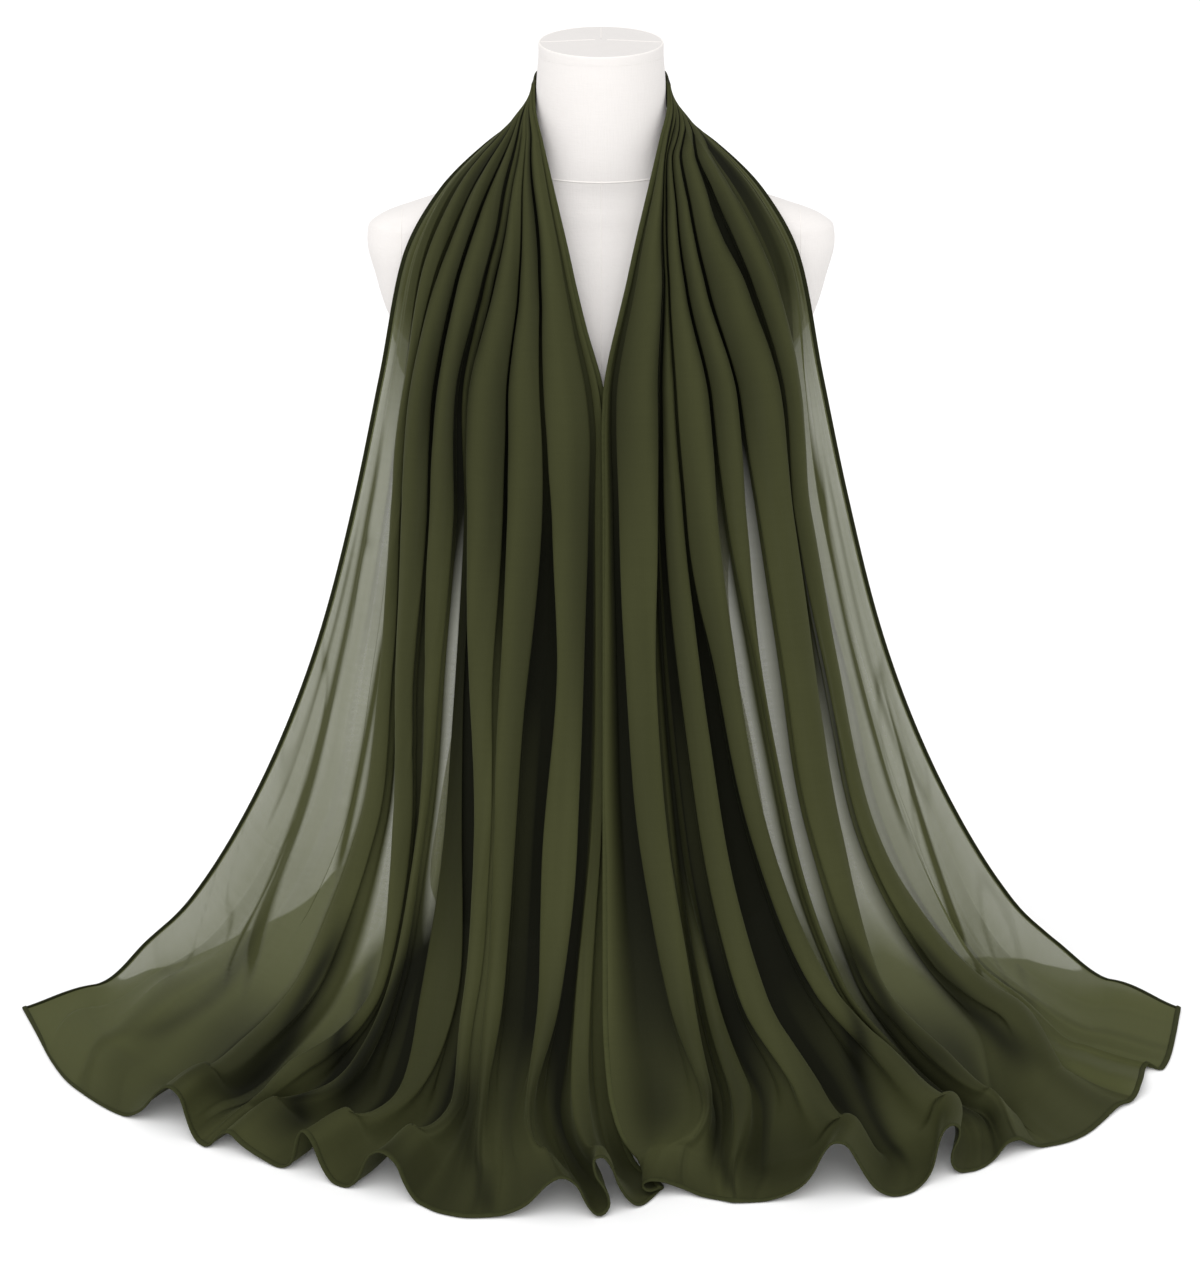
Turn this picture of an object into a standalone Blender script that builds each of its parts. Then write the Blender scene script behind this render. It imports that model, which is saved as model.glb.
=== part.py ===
"""A chiffon scarf hung round the neck of a small limbless dress form.

Metres, +Z up.  The origin is on the floor under the axis of the form, the front looks along -Y.
The scarf is one long hemmed strip: its middle is gathered round the back of the neck, and each half
falls from the side of the neck over the chest, opens like a fan and ends in waves on the floor.
"""
import math

import bmesh
import bpy
import numpy as np

GAP = 0.0003            # clearance between neighbouring solids
CLOTH_WALL = 0.0012     # thickness of the cloth with its nap and air
HEM_WIDTH = 0.0045      # width of the rolled hem
HEM_SHARE = 0.9         # of the outermost facet, the most that a hem covers
HEM_WALL = 0.0007       # thickness of the turned edge that lies on the cloth
HEM_LIFT = CLOTH_WALL / 2 + 2 * GAP + HEM_WALL / 2      # the faces of a fold are not quite flat
FALL_LENGTH = 0.93      # from the side of the neck to the hem, along the cloth
FLOOR_CLEARANCE = 0.0001
FLOOR_LIFT = CLOTH_WALL / 2 + FLOOR_CLEARANCE
LYING_BAND = 0.0005     # cloth this close to FLOOR_LIFT lies on the floor

# One row for each level section of a half scarf, from the side of the neck to the hem.  "along" is
# the share of FALL_LENGTH, and the edges are given on the +X side: the inner edge is at the front
# opening, the outer edge is at the side.
SECTION_COLUMNS = ("name", "along", "inner_x", "inner_y", "inner_z", "outer_x", "outer_y", "outer_z")
SECTIONS = (
    ("tie", 0.00, 0.0482, -GAP, 0.742, 0.0496, -GAP, 0.724),
    ("neck", 0.022, 0.0474, -0.017, 0.728, 0.0640, -0.002, 0.713),
    ("collar", 0.05, 0.0420, -0.038, 0.708, 0.0841, -0.006, 0.698),
    ("yoke", 0.10, 0.0330, -0.062, 0.675, 0.1150, -0.020, 0.668),
    ("shoulder", 0.165, 0.0194, -0.084, 0.620, 0.1400, -0.044, 0.628),
    ("chest", 0.26, 0.0030, -0.099, 0.532, 0.1600, -0.045, 0.535),
    ("bust", 0.36, 0.0040, -0.108, 0.440, 0.1815, -0.034, 0.437),
    ("waist", 0.48, 0.0040, -0.121, 0.330, 0.2110, -0.018, 0.325),
    ("hip", 0.61, 0.0040, -0.150, 0.205, 0.2560, 0.005, 0.205),
    ("knee", 0.74, 0.0040, -0.200, 0.095, 0.3130, 0.024, 0.098),
    ("foot", 0.85, 0.0040, -0.258, 0.030, 0.3600, 0.036, 0.036),
    ("floor", 0.93, 0.0040, -0.303, 0.004, 0.4080, 0.044, FLOOR_LIFT),
    ("hem", 1.00, 0.0040, -0.345, FLOOR_LIFT, 0.4600, -0.004, FLOOR_LIFT),
)

# Power of the oval that a section follows: 2 is an ellipse, less is flatter.
SECTION_POWER = 2.0
HEM_POWER = {"left": 1.75, "right": 1.95}
HEM_POWER_FROM = 0.6    # along the cloth, where the sections start to turn into the hem's oval
TIE_BLEND = 0.05        # along the cloth, where its outward side has turned from sideways to front
NORMAL_STEP = 0.004

# One row for each fold.  Its centre and half width are shares of the section as seen from the front,
# at the stations of FOLD_STATIONS.  It stands "hang" proud of the valleys where the cloth hangs, and
# "arch" above the floor at the hem.
FOLD_STATIONS = (0.05, 0.165, 0.36, 0.61, 0.85, 1.00)
FOLD_COLUMNS = ("name", "centre", "half", "hang", "arch")
LEFT_FOLDS = (
    ("edge", (.04, .04, .04, .05, .07, .083), (.015, .015, .015, .015, .018, .020), 0.003, 0.040),
    ("front", (.14, .14, .15, .14, .15, .165), (.06, .07, .07, .05, .035, .025), 0.020, 0.028),
    ("second", (.31, .30, .32, .33, .38, .40), (.05, .06, .07, .07, .06, .03), 0.024, 0.032),
    ("third", (.44, .43, .49, .47, .51, .51), (.05, .05, .06, .04, .04, .03), 0.017, 0.032),
    ("fourth", (.57, .57, .64, .58, .61, .63), (.05, .06, .05, .04, .03, .02), 0.019, 0.014),
    ("side", (.74, .74, .77, .70, .73, .72), (.05, .05, .04, .04, .04, .03), 0.022, 0.027),
    ("wing", (.90, .90, .92, .91, .91, .90), (.03, .03, .03, .03, .04, .04), 0.008, 0.004),
)
RIGHT_FOLDS = (
    ("front", (.10, .13, .15, .16, .19, .20), (.07, .08, .08, .06, .06, .05), 0.024, 0.007),
    ("second", (.26, .27, .28, .32, .37, .33), (.05, .05, .05, .05, .04, .03), 0.022, 0.040),
    ("third", (.40, .40, .41, .45, .51, .52), (.05, .05, .05, .05, .04, .03), 0.019, 0.042),
    ("fourth", (.53, .54, .54, .55, .60, .60), (.04, .05, .05, .02, .02, .01), 0.014, 0.003),
    ("side", (.70, .71, .70, .67, .69, .67), (.05, .06, .06, .05, .04, .03), 0.024, 0.015),
    ("wing", (.87, .86, .84, .83, .87, .91), (.04, .04, .03, .03, .03, .02), 0.012, 0.013),
)
HANG_FULL = 0.24        # along the cloth, where the folds have opened from the gathers
ARCH_FROM = 0.66        # along the cloth, where they start to turn into the arches of the hem
FACE_CROWN = 1.12       # height of the middle of a face, for 1 at its sides
VALLEY_SHARE = 0.35     # of the way from one face to the next, where the valley is deepest
RISE_SHARE = 0.15       # of that way, where the next face starts to rise
RISE_HEIGHT = 0.10      # of the next face's height, reached there
WING_SHARES = (0.30, 0.75)      # of the way from the last face to the outer edge
TURNED_WIDTHS = 1.5     # width of the level border at the inner edge, in widths of a hem
TURNED_SHARE = 0.5      # of the room before the first face, the most that the border takes

# At the front opening the right half lies over the left.  One row for each place along the cloth:
# how far each half passes the middle, and how proud its inner edge stands there.
OPENING_COLUMNS = ("along", "left_past", "right_past", "left_rise", "right_rise")
OPENING = (
    (0.00, 0.000, 0.000, 0.000, 0.000),
    (0.20, 0.000, 0.000, 0.000, 0.004),
    (0.30, 0.010, 0.003, -0.003, 0.009),
    (0.74, 0.013, 0.003, -0.004, 0.012),
    (0.86, 0.020, -0.004, -0.002, 0.012),
    (1.00, 0.045, -0.026, 0.000, 0.014),
)

# Stretches of a half scarf, each one a solid: name, start and end along the cloth, rows.
STRETCHES = (
    ("yoke", 0.000, 0.260, 10),
    ("skirt", 0.260, 0.800, 10),
    ("train", 0.800, 1.000, 6),
)
YOKE_CROWDING = 1.4     # the sections of the yoke crowd toward the neck
GATHERED_ROWS = 5       # next to the neck, where the hems are rolled into the gathers

NAPE_ROWS = 15          # across the back of the neck
NAPE_FOLDS = 5
NAPE_COLUMNS = 3 * NAPE_FOLDS + 1
NAPE_RISE = 0.014       # how far the upper edge climbs at the back
NAPE_DROP = 0.012       # how far the lower edge sinks at the back
NAPE_FLATTEN = 0.985    # the neck is a little flatter than wide
NAPE_RIPPLE = 0.0022    # height of the gathers

# One row for each level ring of the form, from the hip to the shoulder and up the neck.
RING_COLUMNS = ("height", "half_width", "front", "back", "squareness")
RINGS = (
    (0.097, 0.122, 0.088, 0.092, 2.3),
    (0.101, 0.131, 0.097, 0.100, 2.3),
    (0.115, 0.134, 0.100, 0.104, 2.3),
    (0.160, 0.128, 0.098, 0.106, 2.3),
    (0.230, 0.116, 0.090, 0.096, 2.3),
    (0.300, 0.102, 0.080, 0.078, 2.2),
    (0.360, 0.097, 0.076, 0.070, 2.2),
    (0.410, 0.099, 0.081, 0.072, 2.3),
    (0.470, 0.103, 0.089, 0.078, 2.4),
    (0.510, 0.111, 0.088, 0.084, 2.3),
    (0.535, 0.128, 0.084, 0.087, 2.2),
    (0.552, 0.146, 0.080, 0.086, 2.1),
    (0.570, 0.158, 0.076, 0.084, 2.0),
    (0.600, 0.167, 0.067, 0.078, 2.0),
    (0.625, 0.1725, 0.057, 0.068, 2.0),
    (0.636, 0.1715, 0.052, 0.062, 2.0),
    (0.644, 0.162, 0.049, 0.058, 2.0),
    (0.652, 0.140, 0.047, 0.055, 2.0),
    (0.660, 0.115, 0.045, 0.053, 2.0),
    (0.669, 0.084, 0.044, 0.051, 2.0),
    (0.680, 0.062, 0.045, 0.049, 2.0),
    (0.696, 0.0520, 0.0455, 0.0480, 2.0),
    (0.720, 0.0480, 0.0455, 0.0470, 2.0),
    (0.745, 0.0468, 0.0450, 0.0460, 2.0),
    (0.762, 0.0455, 0.0440, 0.0450, 2.0),
)
RING_POINTS = 40
BODY_LEVELS = (0.13, 0.60, 13)      # from, to and count of the rings added between the rows
CUT_TOLERANCE = 1e-7
ARM_CUT = 0.146         # the arm caps start at this distance from the middle
CAP_HEIGHT = 0.0125     # the neck cap, with its rounded rim
CAP_ROUND = 0.0045
CAP_ROUND_STEPS = 5
CAP_DOME = 0.0025
CAP_DOME_INSET = 0.7    # of the half width, where the dome is highest
CAP_DEPTH = 0.95        # of an inset, taken off its front and its back

POLE_RADIUS = 0.0125
COLLAR_RADIUS = 0.026
COLLAR_HEIGHT = 0.016
BASE_RADIUS = 0.105
BASE_HEIGHT = 0.012
BASE_ROUND = 0.003
ROUND_SIDES = 40
POLE_SIDES = 24

CLOTH_COLOUR = (0.066, 0.074, 0.031)
HEM_COLOUR = (0.030, 0.036, 0.014)
LINEN_COLOUR = (0.80, 0.77, 0.74)
PAINT_COLOUR = (0.72, 0.70, 0.67)
CLOTH_ROUGHNESS = 0.7
LINEN_ROUGHNESS = 0.85
PAINT_ROUGHNESS = 0.5
SMOOTH_ANGLE = math.radians(50)     # edges sharper than this stay sharp


def clear_scene():
    for item in list(bpy.data.objects):
        bpy.data.objects.remove(item, do_unlink=True)


def material(name, colour, roughness):
    made = bpy.data.materials.new(name)
    made.use_nodes = True
    shader = made.node_tree.nodes["Principled BSDF"]
    shader.inputs["Base Color"].default_value = (*colour, 1.0)
    shader.inputs["Roughness"].default_value = roughness
    return made


def add_object(name, points, faces, finish):
    """Makes one object from points and faces, with its faces pointing out."""
    mesh = bpy.data.meshes.new(name)
    mesh.from_pydata([tuple(map(float, point)) for point in points], [], faces)
    builder = bmesh.new()
    builder.from_mesh(mesh)
    bmesh.ops.recalc_face_normals(builder, faces=builder.faces)
    bmesh.ops.triangulate(builder, faces=builder.faces)
    if builder.calc_volume(signed=True) < 0:
        bmesh.ops.reverse_faces(builder, faces=builder.faces)
    builder.to_mesh(mesh)
    builder.free()
    mesh.shade_smooth()
    mesh.set_sharp_from_angle(angle=SMOOTH_ANGLE)
    mesh.materials.append(finish)
    made = bpy.data.objects.new(name, mesh)
    bpy.context.collection.objects.link(made)
    return made


def ease(share):
    """Rises from 0 to 1 with a level start and end."""
    held = np.clip(share, 0.0, 1.0)
    return held * held * (3.0 - 2.0 * held)


def smooth_values(knots, values, where):
    """Reads a table's column between its rows, along a curve that never overshoots a row."""
    knots = np.asarray(knots, float)
    values = np.asarray(values, float)
    steps = np.diff(knots)
    slopes = np.diff(values) / steps
    tangents = np.zeros(len(knots))
    tangents[0] = slopes[0]
    tangents[-1] = slopes[-1]
    for row in range(1, len(knots) - 1):
        before = slopes[row - 1]
        after = slopes[row]
        if before * after > 0:
            near = 2 * steps[row] + steps[row - 1]
            far = steps[row] + 2 * steps[row - 1]
            tangents[row] = (near + far) / (near / before + far / after)
    where = np.clip(where, knots[0], knots[-1])
    row = np.clip(np.searchsorted(knots, where, side="right") - 1, 0, len(steps) - 1)
    share = (where - knots[row]) / steps[row]
    square = share * share
    cube = square * share
    return ((2 * cube - 3 * square + 1) * values[row]
            + (cube - 2 * square + share) * steps[row] * tangents[row]
            + (3 * square - 2 * cube) * values[row + 1]
            + (cube - square) * steps[row] * tangents[row + 1])


def column(table, names, name):
    place = names.index(name)
    return [row[place] for row in table]


def base_point(angle, along, side):
    """A point of the unfolded half scarf on the +X side: a quarter oval between its two edges."""
    knots = column(SECTIONS, SECTION_COLUMNS, "along")
    edge = {name: smooth_values(knots, column(SECTIONS, SECTION_COLUMNS, name), along)
            for name in SECTION_COLUMNS[2:]}
    x = edge["inner_x"] + (edge["outer_x"] - edge["inner_x"]) * np.sin(angle)
    turned = ease((along - HEM_POWER_FROM) / (1.0 - HEM_POWER_FROM))
    power = SECTION_POWER + (HEM_POWER[side] - SECTION_POWER) * turned
    reach = (1.0 - np.sin(angle) ** power) ** (1.0 / power)
    y = edge["outer_y"] + (edge["inner_y"] - edge["outer_y"]) * reach
    z = edge["inner_z"] + (edge["outer_z"] - edge["inner_z"]) * angle / (math.pi / 2)
    return np.stack([x, y, z], axis=-1)


def unit(vectors):
    return vectors / np.linalg.norm(vectors, axis=-1, keepdims=True)


def base_normal(angle, along, side):
    """Points out of the cloth: to the front where it hangs, up where it lies."""
    outer = base_point(np.minimum(angle + NORMAL_STEP, math.pi / 2), along, side)
    inner = base_point(np.maximum(angle - NORMAL_STEP, 0.0), along, side)
    lower = base_point(angle, np.minimum(along + NORMAL_STEP, 1.0), side)
    upper = base_point(angle, np.maximum(along - NORMAL_STEP, 0.0), side)
    computed = unit(np.cross(lower - upper, outer - inner))
    sideways = np.zeros_like(computed)
    sideways[..., 0] = 1.0
    share = ease(along / TIE_BLEND)[..., None]
    return unit(sideways * (1.0 - share) + computed * share)


def fold_height(fold, along):
    """How far a fold stands proud of the valleys at one place along the cloth."""
    hang = fold[FOLD_COLUMNS.index("hang")] * ease(along / HANG_FULL)
    arch = fold[FOLD_COLUMNS.index("arch")]
    share = ease((along - ARCH_FROM) / (1.0 - ARCH_FROM))
    return hang * (1.0 - share) + arch * share


def opening_value(side, name, along):
    knots = column(OPENING, OPENING_COLUMNS, "along")
    return float(smooth_values(knots, column(OPENING, OPENING_COLUMNS, f"{side}_{name}"), along))


def section_controls(side, along):
    """Control points of one section: angle on the quarter oval and height above it."""
    folds = LEFT_FOLDS if side == "left" else RIGHT_FOLDS
    faces = []
    for fold in folds:
        centre = smooth_values(FOLD_STATIONS, fold[FOLD_COLUMNS.index("centre")], along)
        half = smooth_values(FOLD_STATIONS, fold[FOLD_COLUMNS.index("half")], along)
        faces.append((float(centre), float(half), float(fold_height(fold, along))))
    edge_rise = opening_value(side, "rise", along)
    width = float(base_point(math.pi / 2, along, side)[0] - base_point(0.0, along, side)[0])
    first_face = faces[0][0] - faces[0][1]
    turned_edge = min(TURNED_WIDTHS * HEM_WIDTH / width, TURNED_SHARE * first_face)
    controls = [(0.0, edge_rise), (turned_edge, edge_rise)]
    previous = turned_edge
    for centre, half, height in faces:
        start = centre - half
        valley = start - previous
        controls.append((previous + VALLEY_SHARE * valley, 0.0))
        controls.append((start - RISE_SHARE * valley, RISE_HEIGHT * height))
        controls.append((start, height))
        controls.append((centre, FACE_CROWN * height))
        controls.append((centre + half, height))
        previous = centre + half
    for share in (*WING_SHARES, 1.0):
        controls.append((previous + share * (1.0 - previous), 0.0))
    shares = np.clip([share for share, height in controls], 0.0, 1.0)
    heights = np.array([height for share, height in controls])
    return np.arcsin(shares), heights


def rounded(values, samples):
    """A smooth curve near its control values, through the first and the last."""
    padded = np.concatenate([[2 * values[0] - values[1]], values, [2 * values[-1] - values[-2]]])
    spans = len(values) - 1
    place = np.linspace(0.0, spans, samples)
    row = np.minimum(place.astype(int), spans - 1)
    share = place - row
    weights = ((1 - share) ** 3,
               3 * share ** 3 - 6 * share ** 2 + 4,
               -3 * share ** 3 + 3 * share ** 2 + 3 * share + 1,
               share ** 3)
    return sum(weight * padded[row + shift] for shift, weight in enumerate(weights)) / 6


def cloth_grid(side, start, end, rows):
    """Middle surface of a stretch, as a grid of points with one row for each section."""
    points = []
    crowding = YOKE_CROWDING if start == 0.0 else 1.0
    for along in start + (end - start) * np.linspace(0.0, 1.0, rows) ** crowding:
        angles, heights = section_controls(side, along)
        samples = len(angles)
        angle = rounded(angles, samples)
        height = rounded(heights, samples)
        place = np.full(samples, along)
        section = base_point(angle, place, side) + base_normal(angle, place, side) * height[:, None]
        section[:, 0] -= opening_value(side, "past", along) * (1.0 - np.sin(angle))
        points.append(section)
    grid = np.array(points)
    if side == "left":
        grid[..., 0] *= -1.0
    grid[..., 2] = np.maximum(grid[..., 2], FLOOR_LIFT)
    return grid


def grid_normals(points, outward):
    """Directions square to a grid; outward is 1 or -1, for the side that shows."""
    across = np.gradient(points, axis=1)
    down = np.gradient(points, axis=0)
    return unit(np.cross(down, across)) * outward


def add_wall(name, points, normals, wall, finish, lift=0.0):
    """Closes a grid of points into a wall of even thickness."""
    front = points + normals * (lift + wall / 2)
    back = points + normals * (lift - wall / 2)
    rows, columns = points.shape[:2]
    spots = np.concatenate([front.reshape(-1, 3), back.reshape(-1, 3)])
    layer = rows * columns
    faces = []
    for row in range(rows - 1):
        for place in range(columns - 1):
            corner = row * columns + place
            opposite = corner + columns + 1
            for facet in ((corner, corner + 1, opposite), (corner, opposite, corner + columns)):
                faces.append(facet)
                faces.append(tuple(layer + vertex for vertex in reversed(facet)))
    rim = list(range(columns))
    rim += [row * columns + columns - 1 for row in range(1, rows)]
    rim += [(rows - 1) * columns + place for place in range(columns - 2, -1, -1)]
    rim += [row * columns for row in range(rows - 2, 0, -1)]
    for here, after in zip(rim, rim[1:] + rim[:1]):
        faces.append((after, here, layer + here, layer + after))
    return add_object(name, spots, faces, finish)


def edge_strip(points, normals, rim, within, axis):
    """The band of a grid that lies one hem's width from its edge, with the normals of its face."""
    outer = np.take(points, rim, axis=axis)
    toward = np.take(points, within, axis=axis) - outer
    share = np.minimum(HEM_WIDTH / np.linalg.norm(toward, axis=-1, keepdims=True), HEM_SHARE)
    outer_normal = np.take(normals, rim, axis=axis)
    inner_normal = outer_normal + (np.take(normals, within, axis=axis) - outer_normal) * share
    strip = [outer, outer + toward * share]
    facing = [outer_normal, inner_normal]
    if rim < 0:
        strip.reverse()
        facing.reverse()
    return np.stack(strip, axis=axis), np.stack(facing, axis=axis)


def level_normals(points, normals):
    """Keeps the thickness of the cloth above the floor where it lies."""
    lying = points[..., 2] < FLOOR_LIFT + LYING_BAND
    upright = np.zeros_like(normals)
    upright[..., 2] = 1.0
    return np.where(lying[..., None], upright, normals)


def stretch_surface(side, start, end, rows):
    """Points and outward normals of one stretch of a half scarf."""
    outward = 1.0 if side == "right" else -1.0
    first = start + (2 * GAP / FALL_LENGTH if start > 0 else 0.0)
    points = cloth_grid(side, first, end, rows)
    normals = level_normals(points, grid_normals(points, outward))
    if start == 0.0:
        normals[0] = (outward, 0.0, 0.0)
    return points, normals


def build_half(side, cloth, hem):
    """The stretches of a half scarf, and its turned edges, which lie on the face of the cloth."""
    for name, start, end, rows in STRETCHES:
        points, normals = stretch_surface(side, start, end, rows)
        add_wall(f"{side}_{name}", points, normals, CLOTH_WALL, cloth)
        for edge, rim, within in (("inner", 0, 1), ("outer", -1, -2)):
            strip, facing = edge_strip(points, normals, rim, within, axis=1)
            if start == 0.0:
                strip = strip[GATHERED_ROWS:]
                facing = facing[GATHERED_ROWS:]
            if end == 1.0:
                shorten(strip)
            add_wall(f"{side}_{name}_{edge}_hem", strip, facing, HEM_WALL, hem, HEM_LIFT)
        if end == 1.0:
            strip, facing = edge_strip(points, normals, -1, -2, axis=0)
            add_wall(f"{side}_end_hem", strip, facing, HEM_WALL, hem, HEM_LIFT)


def shorten(strip):
    """Ends a side hem short of the end hem."""
    last_step = strip[-1] - strip[-2]
    length = np.linalg.norm(last_step, axis=-1, keepdims=True)
    strip[-1] = strip[-2] + last_step * (1.0 - (HEM_WIDTH + 2 * GAP) / length)


def nape_grid():
    """The gathered middle of the scarf, round the back of the neck from tie to tie."""
    tie = dict(zip(SECTION_COLUMNS, SECTIONS[0]))
    turn = np.linspace(0.0, math.pi, NAPE_ROWS)[:, None]
    share = np.linspace(0.0, 1.0, NAPE_COLUMNS)[None, :]
    back = np.sin(turn)
    radius = tie["inner_x"] + (tie["outer_x"] - tie["inner_x"]) * share
    high = tie["inner_z"] + NAPE_RISE * back
    low = tie["outer_z"] - NAPE_DROP * back
    ripple = NAPE_RIPPLE * ease(back * 2) * 0.5 * (1 - np.cos(2 * math.pi * NAPE_FOLDS * share))
    reach = radius + ripple
    x = -reach * np.cos(turn)
    y = NAPE_FLATTEN * reach * np.sin(turn)
    z = high + (low - high) * share
    points = np.stack([x, y, z], axis=-1)
    normals = grid_normals(points, 1.0)
    normals[0] = (-1.0, 0.0, 0.0)
    normals[-1] = (1.0, 0.0, 0.0)
    return points, normals


def build_nape(cloth, hem):
    points, normals = nape_grid()
    add_wall("nape_stretch", points, normals, CLOTH_WALL, cloth)
    for name, rim, within in (("nape_upper_hem", 0, 1), ("nape_lower_hem", -1, -2)):
        strip, facing = edge_strip(points, normals, rim, within, axis=1)
        add_wall(name, strip, facing, HEM_WALL, hem, HEM_LIFT)


def ring_points(height, half_width, front, back, squareness, count=RING_POINTS):
    """A level superoval ring: squareness 2 is an ellipse, more is squarer."""
    angle = np.linspace(0.0, 2 * math.pi, count, endpoint=False)
    cosine = np.cos(angle)
    sine = np.sin(angle)
    x = half_width * np.sign(cosine) * np.abs(cosine) ** (2 / squareness)
    depth = np.where(sine > 0, back, front)
    y = depth * np.sign(sine) * np.abs(sine) ** (2 / squareness)
    return np.stack([x, y, np.full(count, height)], axis=-1)


def add_loft(name, rings, finish):
    """Joins level rings into a closed solid, with a flat cap at each end."""
    count = len(rings[0])
    points = np.concatenate(rings)
    faces = [tuple(range(count - 1, -1, -1))]
    for level in range(len(rings) - 1):
        for place in range(count):
            after = (place + 1) % count
            low = level * count
            high = low + count
            faces.append((low + place, low + after, high + after, high + place))
    top = (len(rings) - 1) * count
    faces.append(tuple(range(top, top + count)))
    return add_object(name, points, faces, finish)


def slice_object(source, name, centre, outward):
    """A copy of a solid, cut by an upright plane, with the cut face filled."""
    mesh = source.data.copy()
    mesh.name = name
    builder = bmesh.new()
    builder.from_mesh(mesh)
    geometry = builder.verts[:] + builder.edges[:] + builder.faces[:]
    cut = bmesh.ops.bisect_plane(builder, geom=geometry, dist=CUT_TOLERANCE,
                                 plane_co=(centre, 0, 0), plane_no=(outward, 0, 0),
                                 clear_inner=True)
    rim = [item for item in cut["geom_cut"] if isinstance(item, bmesh.types.BMEdge)]
    bmesh.ops.holes_fill(builder, edges=rim)
    bmesh.ops.triangulate(builder, faces=builder.faces)
    bmesh.ops.recalc_face_normals(builder, faces=builder.faces)
    builder.to_mesh(mesh)
    builder.free()
    made = bpy.data.objects.new(name, mesh)
    bpy.context.collection.objects.link(made)
    return made


def build_form(linen):
    """Torso and arm caps of the form, cut from one smooth body."""
    heights = column(RINGS, RING_COLUMNS, "height")
    levels = np.unique(np.concatenate([heights, np.linspace(*BODY_LEVELS)]))
    values = {name: smooth_values(heights, column(RINGS, RING_COLUMNS, name), levels)
              for name in RING_COLUMNS[1:]}
    rings = [ring_points(level, *(values[name][row] for name in RING_COLUMNS[1:]))
             for row, level in enumerate(levels)]
    whole = add_loft("whole_form", rings, linen)
    slice_object(whole, "left_arm_cap", -ARM_CUT - GAP, -1.0)
    slice_object(whole, "right_arm_cap", ARM_CUT + GAP, 1.0)
    trimmed = slice_object(whole, "trimmed_form", -ARM_CUT, 1.0)
    slice_object(trimmed, "form_torso", ARM_CUT, -1.0)
    for spare in (whole, trimmed):
        bpy.data.objects.remove(spare, do_unlink=True)


def build_neck_cap(linen):
    """The plate that closes the neck: a rounded rim and a low dome."""
    neck = dict(zip(RING_COLUMNS, RINGS[-1]))
    foot = neck["height"] + GAP
    profile = [(foot, 0.0)]
    for angle in np.linspace(0.0, math.pi / 2, CAP_ROUND_STEPS):
        height = foot + CAP_HEIGHT - CAP_ROUND * (1 - math.sin(angle))
        profile.append((height, CAP_ROUND * (1 - math.cos(angle))))
    profile.append((foot + CAP_HEIGHT + CAP_DOME, CAP_DOME_INSET * neck["half_width"]))
    rings = [ring_points(height, neck["half_width"] - inset, neck["front"] - inset * CAP_DEPTH,
                         neck["back"] - inset * CAP_DEPTH, neck["squareness"])
             for height, inset in profile]
    add_loft("neck_cap", rings, linen)


def add_turned(name, profile, sides, finish):
    """A round solid on the axis of the form, from its heights and radii."""
    circle = 2.0
    rings = [ring_points(height, radius, radius, radius, circle, sides)
             for height, radius in profile]
    add_loft(name, rings, finish)


def build_stand(paint):
    """Base plate, collar and pole, which carry the form."""
    base = ((0.0, BASE_RADIUS - BASE_ROUND), (BASE_ROUND, BASE_RADIUS),
            (BASE_HEIGHT - BASE_ROUND, BASE_RADIUS), (BASE_HEIGHT, BASE_RADIUS - BASE_ROUND))
    add_turned("base_plate", base, ROUND_SIDES, paint)
    collar_foot = BASE_HEIGHT + GAP
    collar_top = collar_foot + COLLAR_HEIGHT
    collar = ((collar_foot, COLLAR_RADIUS), (collar_top - BASE_ROUND, COLLAR_RADIUS),
              (collar_top, COLLAR_RADIUS - BASE_ROUND))
    add_turned("stand_collar", collar, ROUND_SIDES, paint)
    torso_foot = column(RINGS, RING_COLUMNS, "height")[0]
    pole = ((collar_top + GAP, POLE_RADIUS), (torso_foot - GAP, POLE_RADIUS))
    add_turned("stand_pole", pole, POLE_SIDES, paint)


def main():
    clear_scene()
    cloth = material("olive_chiffon", CLOTH_COLOUR, CLOTH_ROUGHNESS)
    hem = material("rolled_hem", HEM_COLOUR, CLOTH_ROUGHNESS)
    linen = material("form_linen", LINEN_COLOUR, LINEN_ROUGHNESS)
    paint = material("stand_paint", PAINT_COLOUR, PAINT_ROUGHNESS)
    build_form(linen)
    build_neck_cap(linen)
    build_stand(paint)
    build_nape(cloth, hem)
    for side in ("left", "right"):
        build_half(side, cloth, hem)


main()
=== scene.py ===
"""Looks of a chiffon scarf hung round the neck of a small limbless dress form.

Metres, +Z up, the front looks along -Y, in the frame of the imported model.  The scarf is three thin
sheets that meet at the sides of the neck: the gathered nape and the two falls, whose sections are
worked out from the tables of sizes below.
"""

import math

import bpy
import numpy as np
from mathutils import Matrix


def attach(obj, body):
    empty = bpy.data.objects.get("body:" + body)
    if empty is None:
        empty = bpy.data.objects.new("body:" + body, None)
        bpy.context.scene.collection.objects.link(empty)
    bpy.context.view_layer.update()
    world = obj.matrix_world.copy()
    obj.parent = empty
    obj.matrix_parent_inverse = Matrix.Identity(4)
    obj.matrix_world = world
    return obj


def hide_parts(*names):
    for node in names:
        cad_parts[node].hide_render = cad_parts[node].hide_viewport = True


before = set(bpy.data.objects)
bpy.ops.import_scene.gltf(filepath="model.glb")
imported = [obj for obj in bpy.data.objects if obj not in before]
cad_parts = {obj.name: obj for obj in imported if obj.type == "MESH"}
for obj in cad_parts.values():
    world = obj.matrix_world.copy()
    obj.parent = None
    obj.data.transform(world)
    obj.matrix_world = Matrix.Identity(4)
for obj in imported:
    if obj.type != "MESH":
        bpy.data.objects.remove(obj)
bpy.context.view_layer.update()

# ---------------------------------------------------------------- sizes of the cloth
FALL_LENGTH = 0.93      # from the side of the neck to the hem, along the cloth
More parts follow.
